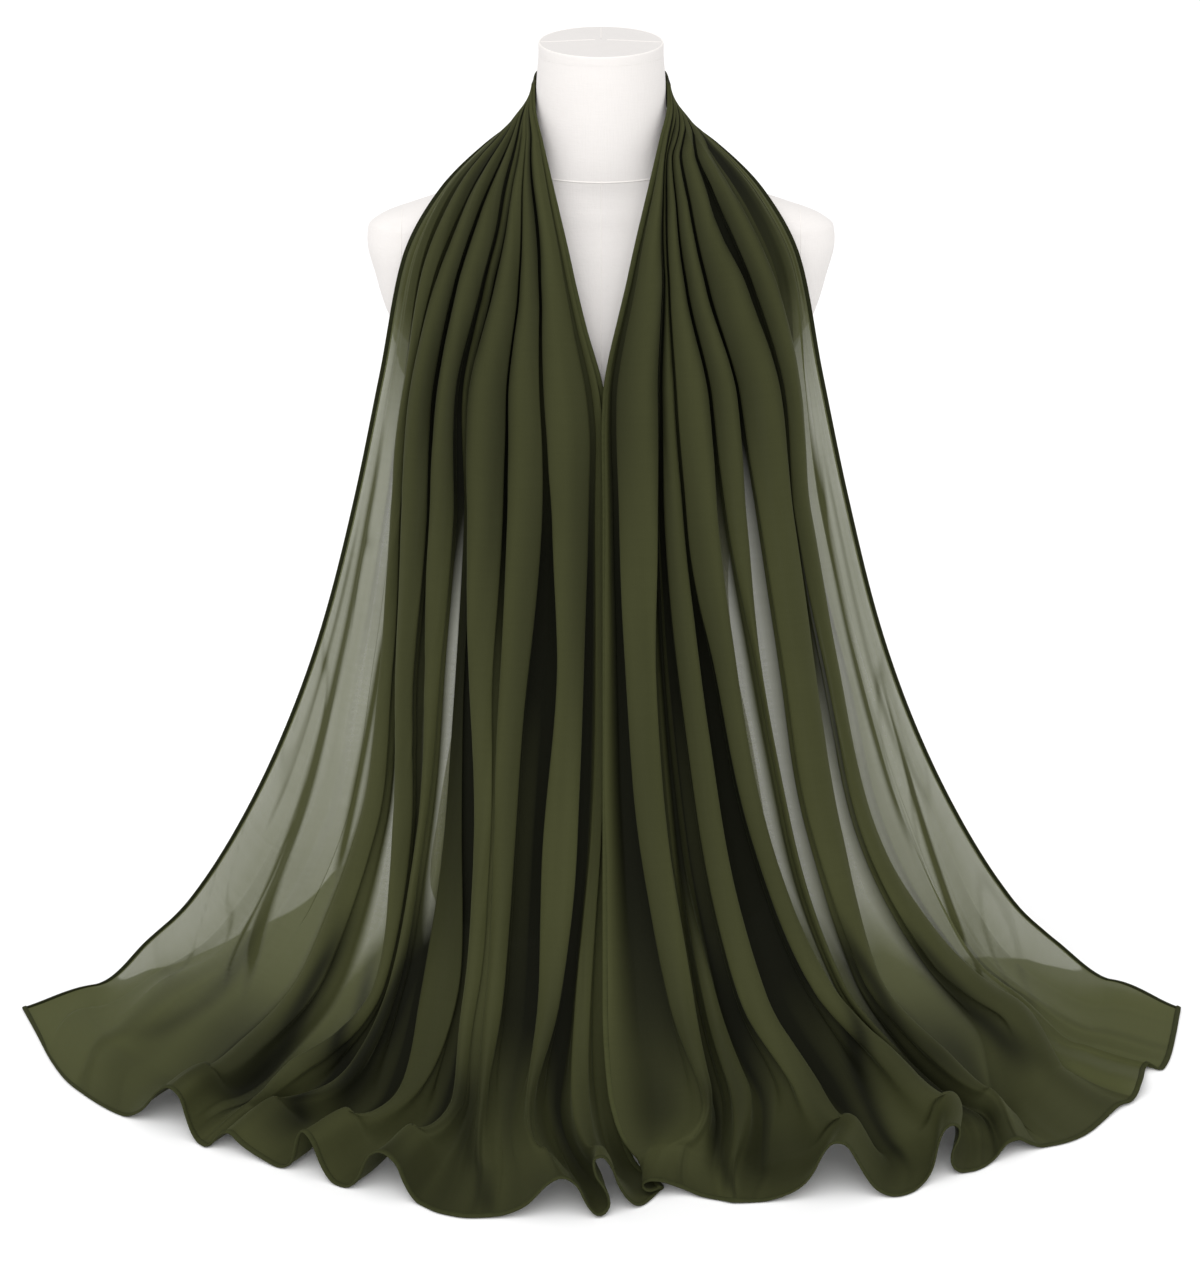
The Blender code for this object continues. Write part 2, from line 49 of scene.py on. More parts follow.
CLOTH_WIDTH = 0.75
FLOOR_LIFT = 0.0007     # the middle of the cloth above the floor where it lies
FLOOR_EASE = 0.0010     # how gently the cloth comes down on the floor
MILLIMETRE = 0.001

HEM_WIDTH = 0.0044
HEM_THICKNESS = 0.0018
HEM_GIRTH = 0.009       # round the rolled hem, in metres of cloth
HEM_CLEAR = 0.0002      # under the hem that lies on the floor
HEM_PITCH = 0.0028      # between the rings of a rolled hem
HEM_SIDES = 12
HEM_ROUND = 0.8         # power of its oval section
HEM_TONES = {"inner": 1.0, "outer": 0.0, "end": 0.6}    # how light each rolled hem is
NAPE_HEM_TONES = (1.0, 0.5)
EDGE_DEPTH = 4          # columns from an edge to the point that says which way the cloth runs in
OUTER_TURN = 0.75       # how far the rolled hem at the side turns to the front
OUTER_SHIFT = 0.0030    # how far it stands out past the cloth
OUTER_SHIFT_IN = 0.10   # the lengths in which it comes to that from the neck, and goes at the end
OUTER_SHIFT_OUT = 0.05
STITCH_PITCH = 0.0023
STITCH_LENGTH = 0.0014
STITCH_RADIUS = 0.00028
STITCH_PLACE = 0.80     # of the hem's width, where the stitches lie
STITCH_LIFT = 0.42      # of its thickness, how high they lie
STITCH_STEP = 0.0004    # to each side of a stitch, for its direction

# One row for each level section of a half scarf.  "along" is the share of FALL_LENGTH, and the
# edges are given on the +X side: the inner edge is at the front opening, the outer at the side.
SECTION_COLUMNS = ("along", "inner_x", "inner_y", "inner_z", "outer_x", "outer_y", "outer_z")
SECTIONS = (
    (0.00, 0.0482, -0.0003, 0.742, 0.0496, -0.0003, 0.724),             # tie
    (0.022, 0.0474, -0.017, 0.728, 0.0640, -0.002, 0.713),              # neck
    (0.05, 0.0420, -0.038, 0.708, 0.0841, -0.006, 0.698),               # collar
    (0.10, 0.0330, -0.062, 0.675, 0.1150, -0.020, 0.668),               # yoke
    (0.165, 0.0194, -0.084, 0.620, 0.1400, -0.044, 0.628),              # shoulder
    (0.26, 0.0030, -0.099, 0.532, 0.1600, -0.045, 0.535),               # chest
    (0.36, 0.0040, -0.108, 0.440, 0.1815, -0.034, 0.437),               # bust
    (0.48, 0.0040, -0.121, 0.330, 0.2110, -0.018, 0.325),               # waist
    (0.61, 0.0040, -0.150, 0.205, 0.2560, 0.005, 0.205),                # hip
    (0.74, 0.0040, -0.200, 0.095, 0.3130, 0.024, 0.098),                # knee
    (0.85, 0.0040, -0.258, 0.030, 0.3600, 0.040, 0.036),                # foot
    (0.93, 0.0040, -0.303, 0.004, 0.4080, 0.035, FLOOR_LIFT),           # floor
    (1.00, 0.0040, -0.345, FLOOR_LIFT, 0.4600, -0.004, FLOOR_LIFT),     # hem
)
SECTION_POWER = 2.0     # of the ovals, and what it comes to at the hem
HEM_POWER = {"left": 1.75, "right": 1.95}
HEM_POWER_FROM = 0.6
TIE_BLEND = 0.05        # from the neck, the length in which the folds turn from the side to the front
NORMAL_STEP = 0.004

# How far each half passes the middle at the opening, and how proud its inner edge stands there.
OPENING_COLUMNS = ("along", "left_past", "right_past", "left_rise", "right_rise")
OPENING = (
    (0.00, 0.000, 0.000, 0.000, 0.000),
    (0.20, 0.000, 0.000, 0.000, 0.004),
    (0.30, 0.010, 0.003, -0.003, 0.009),
    (0.74, 0.013, 0.003, -0.004, 0.012),
    (0.86, 0.020, -0.004, -0.002, 0.012),
    (1.00, 0.045, -0.026, 0.000, 0.014),
)

# One row for each pleat, from the opening to the side.  At each station along the cloth it gives
# the shares of the section, as seen from the front, at which its face starts and ends, its height
# in millimetres, how deep the valley before it is, as a share of the lower pleat beside it, how
# dense the cloth lies in that valley (gap) and on the face, how far its sides are tucked under it,
# and how open it is to the light, which is painted as shade in its colour.  A single number holds
# at all stations.
STATIONS = (0.00, 0.03, 0.07, 0.12, 0.18, 0.26, 0.36, 0.48, 0.61, 0.74, 0.85, 0.93, 1.00)
PLEAT_COLUMNS = ("name", "start", "end", "height", "valley", "gap", "face", "tuck", "open")
BARE = (1, 1, 1, 1, .9, .1, .0, .0, .0, .0, .0, .0, .0)     # the density beyond the last pleat
LEFT_PLEATS = (
    ("edge",
     (.02, .02, .02, .02, .025, .025, .025, .025, .03, .05, .060, .052, .063),
     (.05, .04, .05, .05, .05, .055, .055, .055, .06, .085, .094, .085, .103),
     (1, 1, 1, 2, 2, 3, 3, 3, 3, 8, 20, 30, 40),
     (0, 0, 0, 0, 0, 0, 0, 0, 0, 0, .5, 1, 1),
     1, 1, 0.4, 1),
    ("front",
     (.09, .06, .06, .065, .065, .080, .085, .085, .090, .118, .168, .148, .121),
     (.16, .15, .176, .160, .195, .256, .207, .172, .186, .168, .182, .166, .160),
     (2, 2, 5, 8, 12, 16, 18, 20, 21, 24, 24, 25, 28),
     (.3, .3, .3, .3, .35, .5, .75, .95, 1, 1, 1, 1, 1),
     1, 1, 1.0, 1),
    ("second",
     (.20, .19, .207, .203, .218, .283, .260, .264, .251, .238, .258, .262, .264),
     (.28, .26, .252, .271, .313, .408, .372, .353, .308, .276, .274, .285, .294),
     (2, 2, 5, 9, 13, 17, 20, 22, 24, 26, 22, 14, 8),
     (1, 1, 1, 1, .9, .6, .8, 1, 1, .9, .45, .4, 1),
     1, 1, 1.0, 1),
    ("third",
     (.32, .29, .275, .290, .335, .426, .401, .376, .320, .288, .290, .345, .368),
     (.39, .36, .331, .364, .450, .581, .522, .454, .368, .322, .312, .375, .401),
     (2, 2, 5, 9, 13, 17, 20, 22, 24, 26, 26, 29, 31),
     (.2, .2, .3, .6, .9, 1, .9, .35, .08, .08, .2, .6, 1),
     1, 1, 1.0, 1),
    ("under",
     (.43, .39, .368, .401, .485, .600, .540, .490, .415, .352, .384, .450, .482),
     (.48, .43, .410, .436, .520, .618, .552, .518, .468, .440, .420, .482, .509),
     (1, 1, 2, 3, 4, 4, 3, 4, 5, 8, 18, 28, 31),
     (1, 1, 1, 1, 1, 1, 1, 1, 1, .8, .9, 1, 1),
     1, 1, 1.0, (1, 1, 1, 1, 1, 1, .5, .3, .45, .8, 1, 1, 1)),
    ("fourth",
     (.52, .47, .435, .445, .530, .638, .585, .545, .502, .471, .508, .592, .607),
     (.60, .54, .516, .565, .634, .704, .661, .594, .524, .494, .534, .618, .634),
     (2, 2, 5, 9, 13, 17, 20, 20, 20, 20, 22, 22, 14),
     1,
     (1, 1, 1, 1, 1, 1, .75, .0, .0, 1, 1, 1, 1),
     1, 1.0, 1),
    ("fifth",
     (.64, .58, .569, .610, .685, .745, .682, .631, .536, .504, .590, .645, .652),
     (.72, .66, .646, .693, .753, .814, .758, .690, .588, .530, .626, .672, .679),
     (2, 2, 5, 9, 13, 17, 20, 20, 20, 20, 20, 15, 8),
     (1, 1, 1, .9, .9, .9, .9, .8, .7, .6, .8, .8, 1),
     (1, 1, 1, 1, 1, 1, 1, .75, .7, .8, .9, 1, 1),
     1, 1.0, 1),
    ("sixth",
     (.76, .70, .742, .768, .807, .838, .790, .712, .640, .640, .692, .718, .696),
     (.82, .77, .802, .827, .857, .861, .810, .752, .688, .690, .735, .752, .732),
     (2, 2, 4, 6, 9, 12, 14, 14, 14, 16, 22, 26, 27),
     (1, 1, 1, .9, .8, .6, .6, .8, .9, 1, 1, 1, 1),
     (1, 1, 1, 1, 1, 1, .9, .4, .0, .0, .0, .4, 1),
     (1, 1, 1, 1, 1, 1, 1, .9, .85, .8, .85, .9, 1),
     (.5, .5, .5, .5, .5, .5, .5, .4, .4, .4, .4, .4, .4), 1),
    ("wing",
     (.88, .84, .880, .895, .890, .893, .878, .850, .800, .842, .905, .895, .810),
     (.94, .91, .922, .940, .940, .944, .931, .900, .842, .878, .945, .930, .857),
     (1, 1, 3, 5, 6, 5, 4, 4, 5, 6, 8, 6, 3),
     1,
     BARE,
     (1, 1, 1, 1, .9, .4, .1, .1, .2, .3, .5, .5, .5), 0, 1),
)
RIGHT_PLEATS = (
    ("front",
     (.10, .07, .055, .050, .055, .059, .062, .078, .100, .146, .192, .140, .094),
     (.22, .16, .110, .145, .207, .241, .210, .180, .183, .205, .212, .190, .168),
     (2, 2, 6, 11, 16, 21, 24, 26, 27, 26, 20, 10, 3),
     (.2, .2, .3, .4, .5, .7, .85, .9, .85, .7, .4, .5, .5),
     1, 1, 1.0, 1),
    ("inner",
     (.235, .175, .115, .152, .214, .248, .219, .206, .214, .233, .254, .262, .235),
     (.245, .185, .119, .156, .219, .253, .225, .214, .226, .266, .293, .288, .265),
     (2, 2, 3, 5, 6, 5, 3, 2, 3, 17, 22, 14, 3),
     (1, 1, 1, 1, 1, 1, 1, 1, 1, 1, .9, .6, 1),
     1, 1, (0, 0, 0, 0, 0, 0, 0, 0, 0, .3, .6, .5, .3),
     (.2, .2, .2, .2, .2, .2, .2, .15, .15, .9, 1, 1, 1)),
    ("second",
     (.27, .20, .124, .164, .226, .260, .236, .249, .266, .305, .368, .372, .290),
     (.33, .25, .136, .176, .241, .309, .306, .325, .334, .368, .420, .420, .335),
     (2, 2, 3, 5, 8, 14, 19, 22, 24, 26, 28, 34, 40),
     (1, 1, .8, .8, .8, .8, .9, 1, 1, 1, .8, .8, 1),
     1, 1, 1.0, 1),
    ("third",
     (.38, .29, .150, .190, .256, .328, .326, .375, .411, .468, .555, .570, .485),
     (.47, .38, .190, .241, .328, .455, .428, .447, .464, .515, .598, .610, .522),
     (2, 2, 6, 11, 15, 19, 22, 22, 22, 24, 28, 34, 42),
     (1, 1, .9, .8, .7, .5, .7, 1, 1, 1, 1, 1, 1),
     1, 1, 1.0, 1),
    ("fourth",
     (.52, .43, .218, .268, .357, .482, .492, .518, .520, .550, .622, .632, .549),
     (.60, .50, .271, .339, .436, .581, .545, .530, .534, .562, .634, .642, .562),
     (2, 2, 6, 10, 14, 18, 20, 18, 15, 13, 12, 8, 2),
     (1, 1, 1, 1, 1, .9, .9, 1, 1, .9, .5, .4, .5),
     (1, 1, 1, 1, 1, 1, .5, .0, .0, .0, .6, 1, 1),
     (1, 1, 1, 1, 1, 1, 1, .9, .8, .8, .9, 1, 1),
     0.9, 1),
    ("fifth",
     (.65, .55, .331, .375, .468, .600, .612, .600, .578, .588, .652, .662, .607),
     (.74, .66, .433, .489, .646, .758, .721, .702, .660, .628, .688, .700, .652),
     (2, 2, 6, 10, 14, 18, 21, 22, 22, 22, 22, 20, 15),
     1,
     (1, 1, 1, 1, 1, .9, .3, .0, .0, .0, .5, 1, 1),
     1, 1.0, 1),
    ("sixth",
     (.79, .72, .549, .610, .715, .802, .755, .748, .718, .762, .842, .860, .874),
     (.88, .82, .658, .721, .800, .849, .800, .795, .765, .822, .885, .898, .915),
     (2, 2, 6, 10, 14, 16, 16, 14, 14, 14, 16, 15, 13),
     (1, 1, 1, 1, .9, .7, .6, .8, .9, 1, 1, 1, 1),
     (1, 1, 1, 1, 1, 1, 1, .8, .0, .0, .0, .4, 1),
     (1, 1, 1, 1, 1, .9, .8, .7, .75, .85, .9, .9, 1),
     0.9, 1),
    ("wing",
     (.892, .872, .892, .917, .930, .880, .838, .842, .808, .838, .900, .922, .942),
     (.908, .888, .908, .938, .955, .918, .878, .886, .862, .866, .912, .934, .950),
     (1, 1, 2, 3, 4, 4, 4, 4, 5, 6, 6, 3, 0),
     1,
     BARE,
     (1, 1, 1, 1, .8, .4, .2, .2, .3, .4, .5, .5, .5), 0, 1),
    ("brim",
     (.932, .922, .932, .950, .960, .945, .919, .920, .917, .886, .925, .950, .965),
     (.946, .936, .946, .958, .972, .965, .946, .945, .935, .900, .936, .960, .972),
     (0, 0, 1, 1, 1, 1, 1, 1, 2, 3, 4, 2, 0),
     1,
     BARE,
     (1, 1, 1, 1, .8, .2, .0, .0, .1, .3, .5, .5, .5), 0, 1),
)
PLEATS = {"left": LEFT_PLEATS, "right": RIGHT_PLEATS}

# The hem of each half on the floor, from the opening to the side: the step of the section that each
# point belongs to, and where it lies, in millimetres, with the left half given on the +X side.
HEM_COLUMNS = ("step", "x", "y", "z")
HEM_LINE = {
    "left": ((0, -45.3, -302.3, 2.3), (3, -27.8, -329.3, 0.9), (6, -13.5, -333.6, 18.5),
             (9, -8.5, -334.9, 33.5), (12.5, -0.7, -338.2, 45.6), (15, 5.6, -339.3, 43),
             (17, 4.2, -340.4, 31.7), (19, -4.2, -338.9, 18.2), (20.5, -7.1, -338.6, 6),
             (22, 0.7, -345.2, 0.9), (24.5, 10.6, -342.5, 11.4), (27, 14.1, -341.7, 20.5),
             (29, 19.8, -341.1, 27.3), (31.5, 27.5, -340.9, 30.4), (34, 36, -341.4, 26.7),
             (36.5, 43.1, -342.2, 20), (39, 53, -343.5, 9.5), (42, 71.5, -344.6, 2.1),
             (50.5, 92.7, -345.2, 0.9), (58, 115.7, -338, 0.9), (61, 130.5, -324.9, 0.9),
             (64, 142, -316.9, 15.8), (66.5, 146.3, -313.6, 26.1), (69.5, 157.9, -307.3, 33.1),
             (72, 166, -303.9, 28.9), (74.5, 171.3, -302.7, 19.4), (77, 175.9, -302.1, 7.8),
             (79, 183.3, -301.3, 0.9), (81.5, 193.1, -295.4, 0.9), (84, 202.9, -286.1, 11.3),
             (86.5, 209.4, -279.8, 26.6), (88.5, 216.1, -274.7, 32.8), (91, 220.8, -272.8, 26.1),
             (93, 223.3, -273, 14.9), (95.5, 225.7, -272.9, 5.9), (98, 233.3, -271.3, 0.9),
             (102, 250.2, -259.4, 3.5), (105, 265.5, -249.8, 9.9), (107.5, 273.1, -244.6, 15.4),
             (110, 280.2, -241.3, 12), (113, 285.7, -239.4, 5.2), (120, 291.1, -239, 0.9),
             (126.5, 296, -234.4, 0.9), (134, 301.5, -228.7, 5.3), (138, 305.4, -224.2, 13.7),
             (141, 307.7, -221.2, 20.4), (143.5, 311.5, -216.5, 30.3), (145.5, 320.2, -209, 34.7),
             (148, 329.3, -203.5, 27.8), (151, 336.8, -200, 17.7), (153, 344.4, -196.5, 7.6),
             (156, 357.4, -190.1, 0.9), (160, 372.5, -177.1, 0.9), (164.5, 394.8, -151, 0.9),
             (168, 407.9, -132.7, 0.9), (171, 425.1, -97.2, 0.9), (174, 441.5, -53.8, 0.9),
             (176, 460.4, -5.5, 0.9)),
    "right": ((0, 43.7, -309.2, 6), (1, 36.5, -316.2, 5), (2.5, 30, -315.5, 7),
              (4, 29.3, -313.6, 10), (6, 35, -315, 14), (9, 43.6, -312.8, 12),
              (12.5, 56.6, -310.7, 6), (17, 73, -315.7, 1.5), (22, 84, -319.4, 1.2),
              (31.5, 96.3, -323.4, 0.9), (39, 107.5, -322.6, 1), (44, 119.2, -321.2, 1.3),
              (45.5, 138.5, -318.7, 7.2), (47, 149.8, -316.3, 17.9), (48.5, 155.4, -314.3, 30.5),
              (50.5, 164.5, -312.1, 42.8), (52.5, 173.9, -311.3, 41.6), (54.5, 182, -312, 29.2),
              (56.5, 190.8, -313, 13.7), (58.5, 198.9, -313.4, 4.3), (60, 208.9, -314.6, 0.9),
              (63, 223, -308.7, 0.9), (65, 234.1, -295.7, 3.5), (66.5, 240, -290.3, 13.5),
              (68, 242.7, -286.1, 29.1), (69.5, 250.2, -279.4, 40.1), (71, 259.5, -273.7, 35.5),
              (72.5, 259.7, -274.8, 27.2), (74, 254.4, -279.5, 19.9), (75.5, 253.1, -281.6, 12.2),
              (77.5, 256.3, -280.7, 4.3), (79, 262.4, -278.9, 0.9), (85, 271.4, -275.8, 0.9),
              (88.5, 277.6, -271.3, 0.9), (94, 286.5, -262, 2.5), (100, 292.6, -257.3, 8.1),
              (103, 298, -253.3, 11.8), (107.5, 305, -248.9, 11.9), (113, 314.6, -244.1, 6),
              (117, 327.1, -239, 0.9), (120, 342.5, -232.8, 0.9), (123, 360.5, -218.7, 0.9),
              (125, 376, -196.5, 0.9), (126.5, 389.8, -176.3, 3), (130, 399, -169.5, 2),
              (136, 405.4, -160.5, 4.1), (139, 410.4, -149.4, 10.2), (143, 417.9, -115, 3),
              (145.5, 420.4, -112.5, 6), (149, 424.9, -113.6, 4), (153, 430.4, -114.2, 0.9),
              (157, 436.7, -102.3, 0.9), (163, 442.3, -85.1, 0.9), (169, 450.1, -53.8, 0.9),
              (176, 461.2, -5.5, 0.9)),
}
HEM_LINE_FROM = 0.82    # along the cloth, where it starts to follow this line
HEM_LINE_ROUNDS = 6     # how often the line is smoothed

# Where the cloth lies double: share across the section, the shares along the cloth down to which
# it does at the yoke and from which it does in the train, and how softly it starts, in metres.
DOUBLE_COLUMNS = ("across", "yoke", "train", "softness")
DOUBLE = {
    "left": ((0.0, 0.26, 0.66, 0.03), (0.52, 0.26, 0.67, 0.03), (0.569, 0.26, 0.70, 0.03),
             (0.62, 0.26, 0.74, 0.03), (0.635, 0.26, 0.75, 0.03), (0.66, 0.26, 0.64, 0.004),
             (0.727, 0.26, 0.65, 0.004), (0.767, 0.26, 0.68, 0.004), (0.822, 0.26, 0.71, 0.004),
             (0.88, 0.255, 0.74, 0.004), (0.932, 0.242, 0.78, 0.004), (0.972, 0.233, 0.84, 0.004),
             (0.992, 0.228, 0.89, 0.004), (1.0, 0.226, 0.90, 0.004)),
    "right": ((0.0, 0.24, 0.67, 0.05), (0.524, 0.24, 0.67, 0.05), (0.551, 0.24, 0.70, 0.05),
              (0.692, 0.24, 0.70, 0.05), (0.737, 0.24, 0.72, 0.05), (0.787, 0.24, 0.745, 0.05),
              (0.83, 0.24, 0.75, 0.03), (0.87, 0.238, 0.76, 0.006), (0.925, 0.227, 0.78, 0.004),
              (0.967, 0.216, 0.81, 0.004), (0.982, 0.212, 0.84, 0.004), (1.0, 0.208, 0.89, 0.004)),
}
YOKE_SOFTNESS = 0.004
DOUBLE_DENSE = 0.8
DEEPEST = 1.2           # how dark the painted shade makes the cloth where no light comes in

# Soft streaks of denser cloth in the sheer parts: the shares along the cloth at which each starts
# and ends, its shares across there, how far its middle bows to the side, its half width and how
# dense it is.
STREAKS = {
    "left": ((0.22, 0.88, 0.958, 0.782, 0.026, 0.020, 1.0),
             (0.48, 0.86, 0.905, 0.835, 0.012, 0.009, 0.8),
             (0.34, 0.68, 0.974, 0.942, 0.006, 0.008, 0.6),
             (0.42, 0.70, 0.800, 0.712, 0.004, 0.014, 0.9)),
    "right": ((0.24, 0.70, 0.914, 0.838, 0.008, 0.020, 0.9),
              (0.48, 0.88, 0.977, 0.832, -0.006, 0.008, 1.0),
              (0.28, 0.62, 0.954, 0.922, 0.004, 0.012, 0.4)),
}
# The same for streaks of painted shade in the train, where it has soft dark folds, with how dark each
# is.
SHADES = {
    "left": ((0.66, 0.98, 0.640, 0.716, -0.008, 0.018, 0.75),
             (0.68, 0.99, 0.588, 0.606, -0.035, 0.016, 0.70),
             (0.66, 0.92, 0.450, 0.534, 0.002, 0.015, 0.60),
             (0.70, 0.93, 0.842, 0.912, -0.014, 0.014, 0.40),
             (0.80, 1.02, 0.300, 0.235, 0.010, 0.022, 0.45)),
    "right": ((0.64, 1.00, 0.552, 0.640, 0.032, 0.016, 0.70),
              (0.68, 0.92, 0.730, 0.868, 0.004, 0.012, 0.60),
              (0.74, 0.98, 0.532, 0.490, 0.014, 0.015, 0.70),
              (0.74, 0.96, 0.660, 0.800, -0.010, 0.014, 0.45),
              (0.80, 1.02, 0.190, 0.260, 0.010, 0.020, 0.50)),
}
STREAK_END = 0.25       # of a streak's length, in which it fades at each end
WRINKLE = 0.30          # how dense the small wrinkles beside the outer hem are
WRINKLE_THIN = 3.5
WRINKLE_ACROSS = (0.86, 0.06)   # where they start and end, and the length in which they do
WRINKLE_FROM = (0.27, 0.1)
WRINKLE_TO = (0.8, 0.1)

# Noise on a fall: its number, how many swells it has across the section and along the cloth, how far
# they drift across on the way along, and how far they run on along the cloth on the way across.
SWELLS = {
    "crumple": (0, 45, 7, 0, 4),
    "fine": (1, 110, 11, 0, 0),
    "sway": (2, 19, 3.5, 0, 0),
    "roll": (3, 13, 12, 2, 0),
    "wrinkle": (4, 26, 9, 16, 0),
}
SWELL_SEEDS = {"left": 100, "right": 200}
NOISE_SIZE = 64         # after so many swells the noise repeats
CRUMPLE_HEIGHT = 0.0009
FINE_SHARE = 0.4        # of the crumples, how much is fine ones
SWAY_HEIGHT = 0.0018
HUNG_IN = 0.05          # from the neck, the length in which crumples and sway come in
HUNG_LEAST = 0.25       # their share in the valleys
HUNG_HEIGHT = 0.006     # the height above them at which they are full
ROLL_HEIGHT = 0.0055    # of the swells of the cloth that lies on the floor
ROLL_MIDDLE = 0.4
ROLL_FROM = (0.74, 0.14)        # shares along the cloth, and the length in which it changes
ROLL_TO = (0.93, 0.07)
ROLL_LOSS = 0.8         # how much of them is gone at the hem

FACE_CROWN = 1.16       # height of the middle of a face, for 1 at its sides
# The side of a pleat from its face down to the valley: out of the face and height as shares, and
# for the tucked one how open it is to the light, as painted shade in its colour.
TUCK_WALL = ((0.0, 0.97, 1.0), (0.0, 0.86, 0.8), (-1.0, 0.66, 0.3), (-1.0, 0.56, 0.1),
             (-0.1, 0.42, 0.1), (-0.1, 0.34, 0.0), (-1.0, 0.12, 0.0))
SOFT_WALL = ((0.0, 0.98), (0.06, 0.9), (0.15, 0.74), (0.25, 0.54), (0.38, 0.34), (0.6, 0.13),
             (1.0, 0.0))
SOFT_RUN = 0.018        # how far a soft side runs out
SOFT_SHARE = 0.48       # of the valley, the most that it runs out
CLOSE_UP = 0.0022       # how far the pleats close over each valley at the yoke
CLOSE_SHARE = 0.3       # of the valley, the most that each side closes
UNDERCUT = 0.0110       # how far a valley runs in under the faces beside it
UNDERCUT_IN = 0.16      # from the neck, the length in which it comes to that
UNDERCUT_SHARE = 0.47   # of a face's width, the most that it runs in
VALLEY_SHARES = (0.4, 0.5, 0.6)     # where the points of a valley's floor lie between its faces
FACE_SHARES = (0.3, 0.7)            # and where those of a face lie between its edges
SIDE_SWELLS = ((0.45, 0.0), (0.60, 0.001), (0.80, 0.0))     # share and height beyond the last pleat
BORDER = 0.0066         # width of the flat border at the opening
BORDER_SHARE = 0.5      # of the way to the first pleat, the most that it takes
DRIFT = 0.0045          # how far the pleats wander to the sides, as a share of the section
DRIFT_IN = 0.1
# Slow noise along each pleat: its seed, how many swells it has along the cloth, and how far apart
# two pleats read it, along and across the noise.
PLEAT_NOISE = {"drift": (11, 9, 5, 1), "glow": (70, 5, 7, 0), "fade": (50, 5, 3, 0)}

# Shares along the cloth at which something changes, and the length in which it does.
CLOSE_TO = (0.36, 0.16)         # up to here the pleats close over the valleys
TUCK_TO = (0.74, 0.17)          # from here the tucks open into waves
SHADED_TO = (0.76, 0.22)        # from here the painted shade in the valleys lifts
CREASE_TO = (0.80, 0.26)        # the same for the painted shade beside the outer edge of a face, where the valleys are deepest
YOKE_TO = (0.22, 0.22)          # from here the painted shade of the yoke ends
VALLEY_FROM = (0.76, 0.1)       # from here the sheer valleys get painted shade as well
GLOW_FROM = (0.2, 0.2)          # from here the far sides of the valleys are painted lighter
# The painted shade of the pleats, carried by the lit attribute into the cloth's colour:
CREASE_SHARE = 0.6      # how dark the painted shade at the foot of a soft side is, next to the valley
FACE_LIT = 0.86         # how light the middle of a face is painted, for 1 along its edges
FACE_YOKE = 0.12        # how much more at the yoke
FACE_SHADING = (0.75, 0.1)      # how much of the side's painted shade each point of a face takes
FACE_FADE = 0.24        # how much darker the painted shade makes the side of a face next to the opening
FACE_FADE_RANGE = 0.30
FACE_FADE_MOST = 0.9
FACE_FADE_IN = 0.05
YOKE_FADE = 0.525       # how much darker the painted shade makes the sides of the faces at the yoke
YOKE_FADE_NEAR = 0.6    # the same for the sides away from the opening
NEAR_LEAST = 0.5        # how dark the painted shade on the two sides of a valley is where the pleats aren't tucked
LIGHT_LEAST = 0.4
GLOW = 0.20             # how much lighter the painted shade leaves the far side of a valley
GLOW_RANGE = 0.32
GLOW_MOST = 0.6
TRAIN_SHADE = 0.27      # how much painted shade darkens the cloth in the train, on the whole
TRAIN_PATCHES = 0.75    # how unevenly, darker in the hollows of its swells
TRAIN_FROM = (0.70, 0.16)
TRAIN_SIDE = (0.82, 0.15)       # across, where the sheer part starts, which gets less painted shade
TRAIN_SIDE_LOSS = 0.9
FALL_ROWS = 180
ROW_POWER = 1.12        # the rows are closer at the neck
SPAN_SAMPLES = 3        # columns for each step between two control points

# ---------------------------------------------------------------- sizes of the form
RING_COLUMNS = ("height", "half_width", "front", "back", "squareness")
RINGS = (
    (0.097, 0.122, 0.088, 0.092, 2.3),
    (0.101, 0.131, 0.097, 0.100, 2.3),
    (0.115, 0.134, 0.100, 0.104, 2.3),
    (0.160, 0.128, 0.098, 0.106, 2.3),
    (0.230, 0.116, 0.090, 0.096, 2.3),
    (0.300, 0.102, 0.080, 0.078, 2.2),
    (0.360, 0.097, 0.076, 0.070, 2.2),
    (0.410, 0.099, 0.081, 0.072, 2.3),
    (0.470, 0.103, 0.089, 0.078, 2.4),
    (0.510, 0.111, 0.088, 0.084, 2.3),
    (0.535, 0.128, 0.084, 0.087, 2.2),
    (0.552, 0.146, 0.080, 0.086, 2.1),
    (0.570, 0.158, 0.076, 0.084, 2.0),
    (0.600, 0.167, 0.067, 0.078, 2.0),
    (0.625, 0.1725, 0.057, 0.068, 2.0),
    (0.636, 0.1715, 0.052, 0.062, 2.0),
    (0.644, 0.162, 0.049, 0.058, 2.0),
    (0.652, 0.140, 0.047, 0.055, 2.0),
    (0.660, 0.115, 0.045, 0.053, 2.0),
    (0.669, 0.084, 0.044, 0.051, 2.0),
    (0.680, 0.062, 0.045, 0.049, 2.0),
    (0.696, 0.0520, 0.0455, 0.0480, 2.0),
    (0.720, 0.0480, 0.0455, 0.0470, 2.0),
    (0.745, 0.0468, 0.0450, 0.0460, 2.0),
    (0.762, 0.0455, 0.0440, 0.0450, 2.0),
)
RING_STRETCHES = ((0.097, 0.115, 10), (0.115, 0.60, 90), (0.60, 0.70, 60), (0.70, 0.762, 14))
FORM_SIDES = 144
OVAL = 2.0              # squareness of an oval
NECK = dict(zip(RING_COLUMNS, RINGS[-1]))
CAP_FOOT = NECK["height"] + 0.00005
CAP_HEIGHT = 0.0125
CAP_ROUND = 0.0016
CAP_DOME = 0.0015
CAP_DOME_TURN = 1.1     # how much sooner than in the middle the dome is level
CAP_FALL = 0.006        # how much lower the front of the plate is
CAP_DEPTH = 0.09        # from its front to its back
CAP_TOP = 0.8           # of the rounded rim, where the painted shade on the top starts
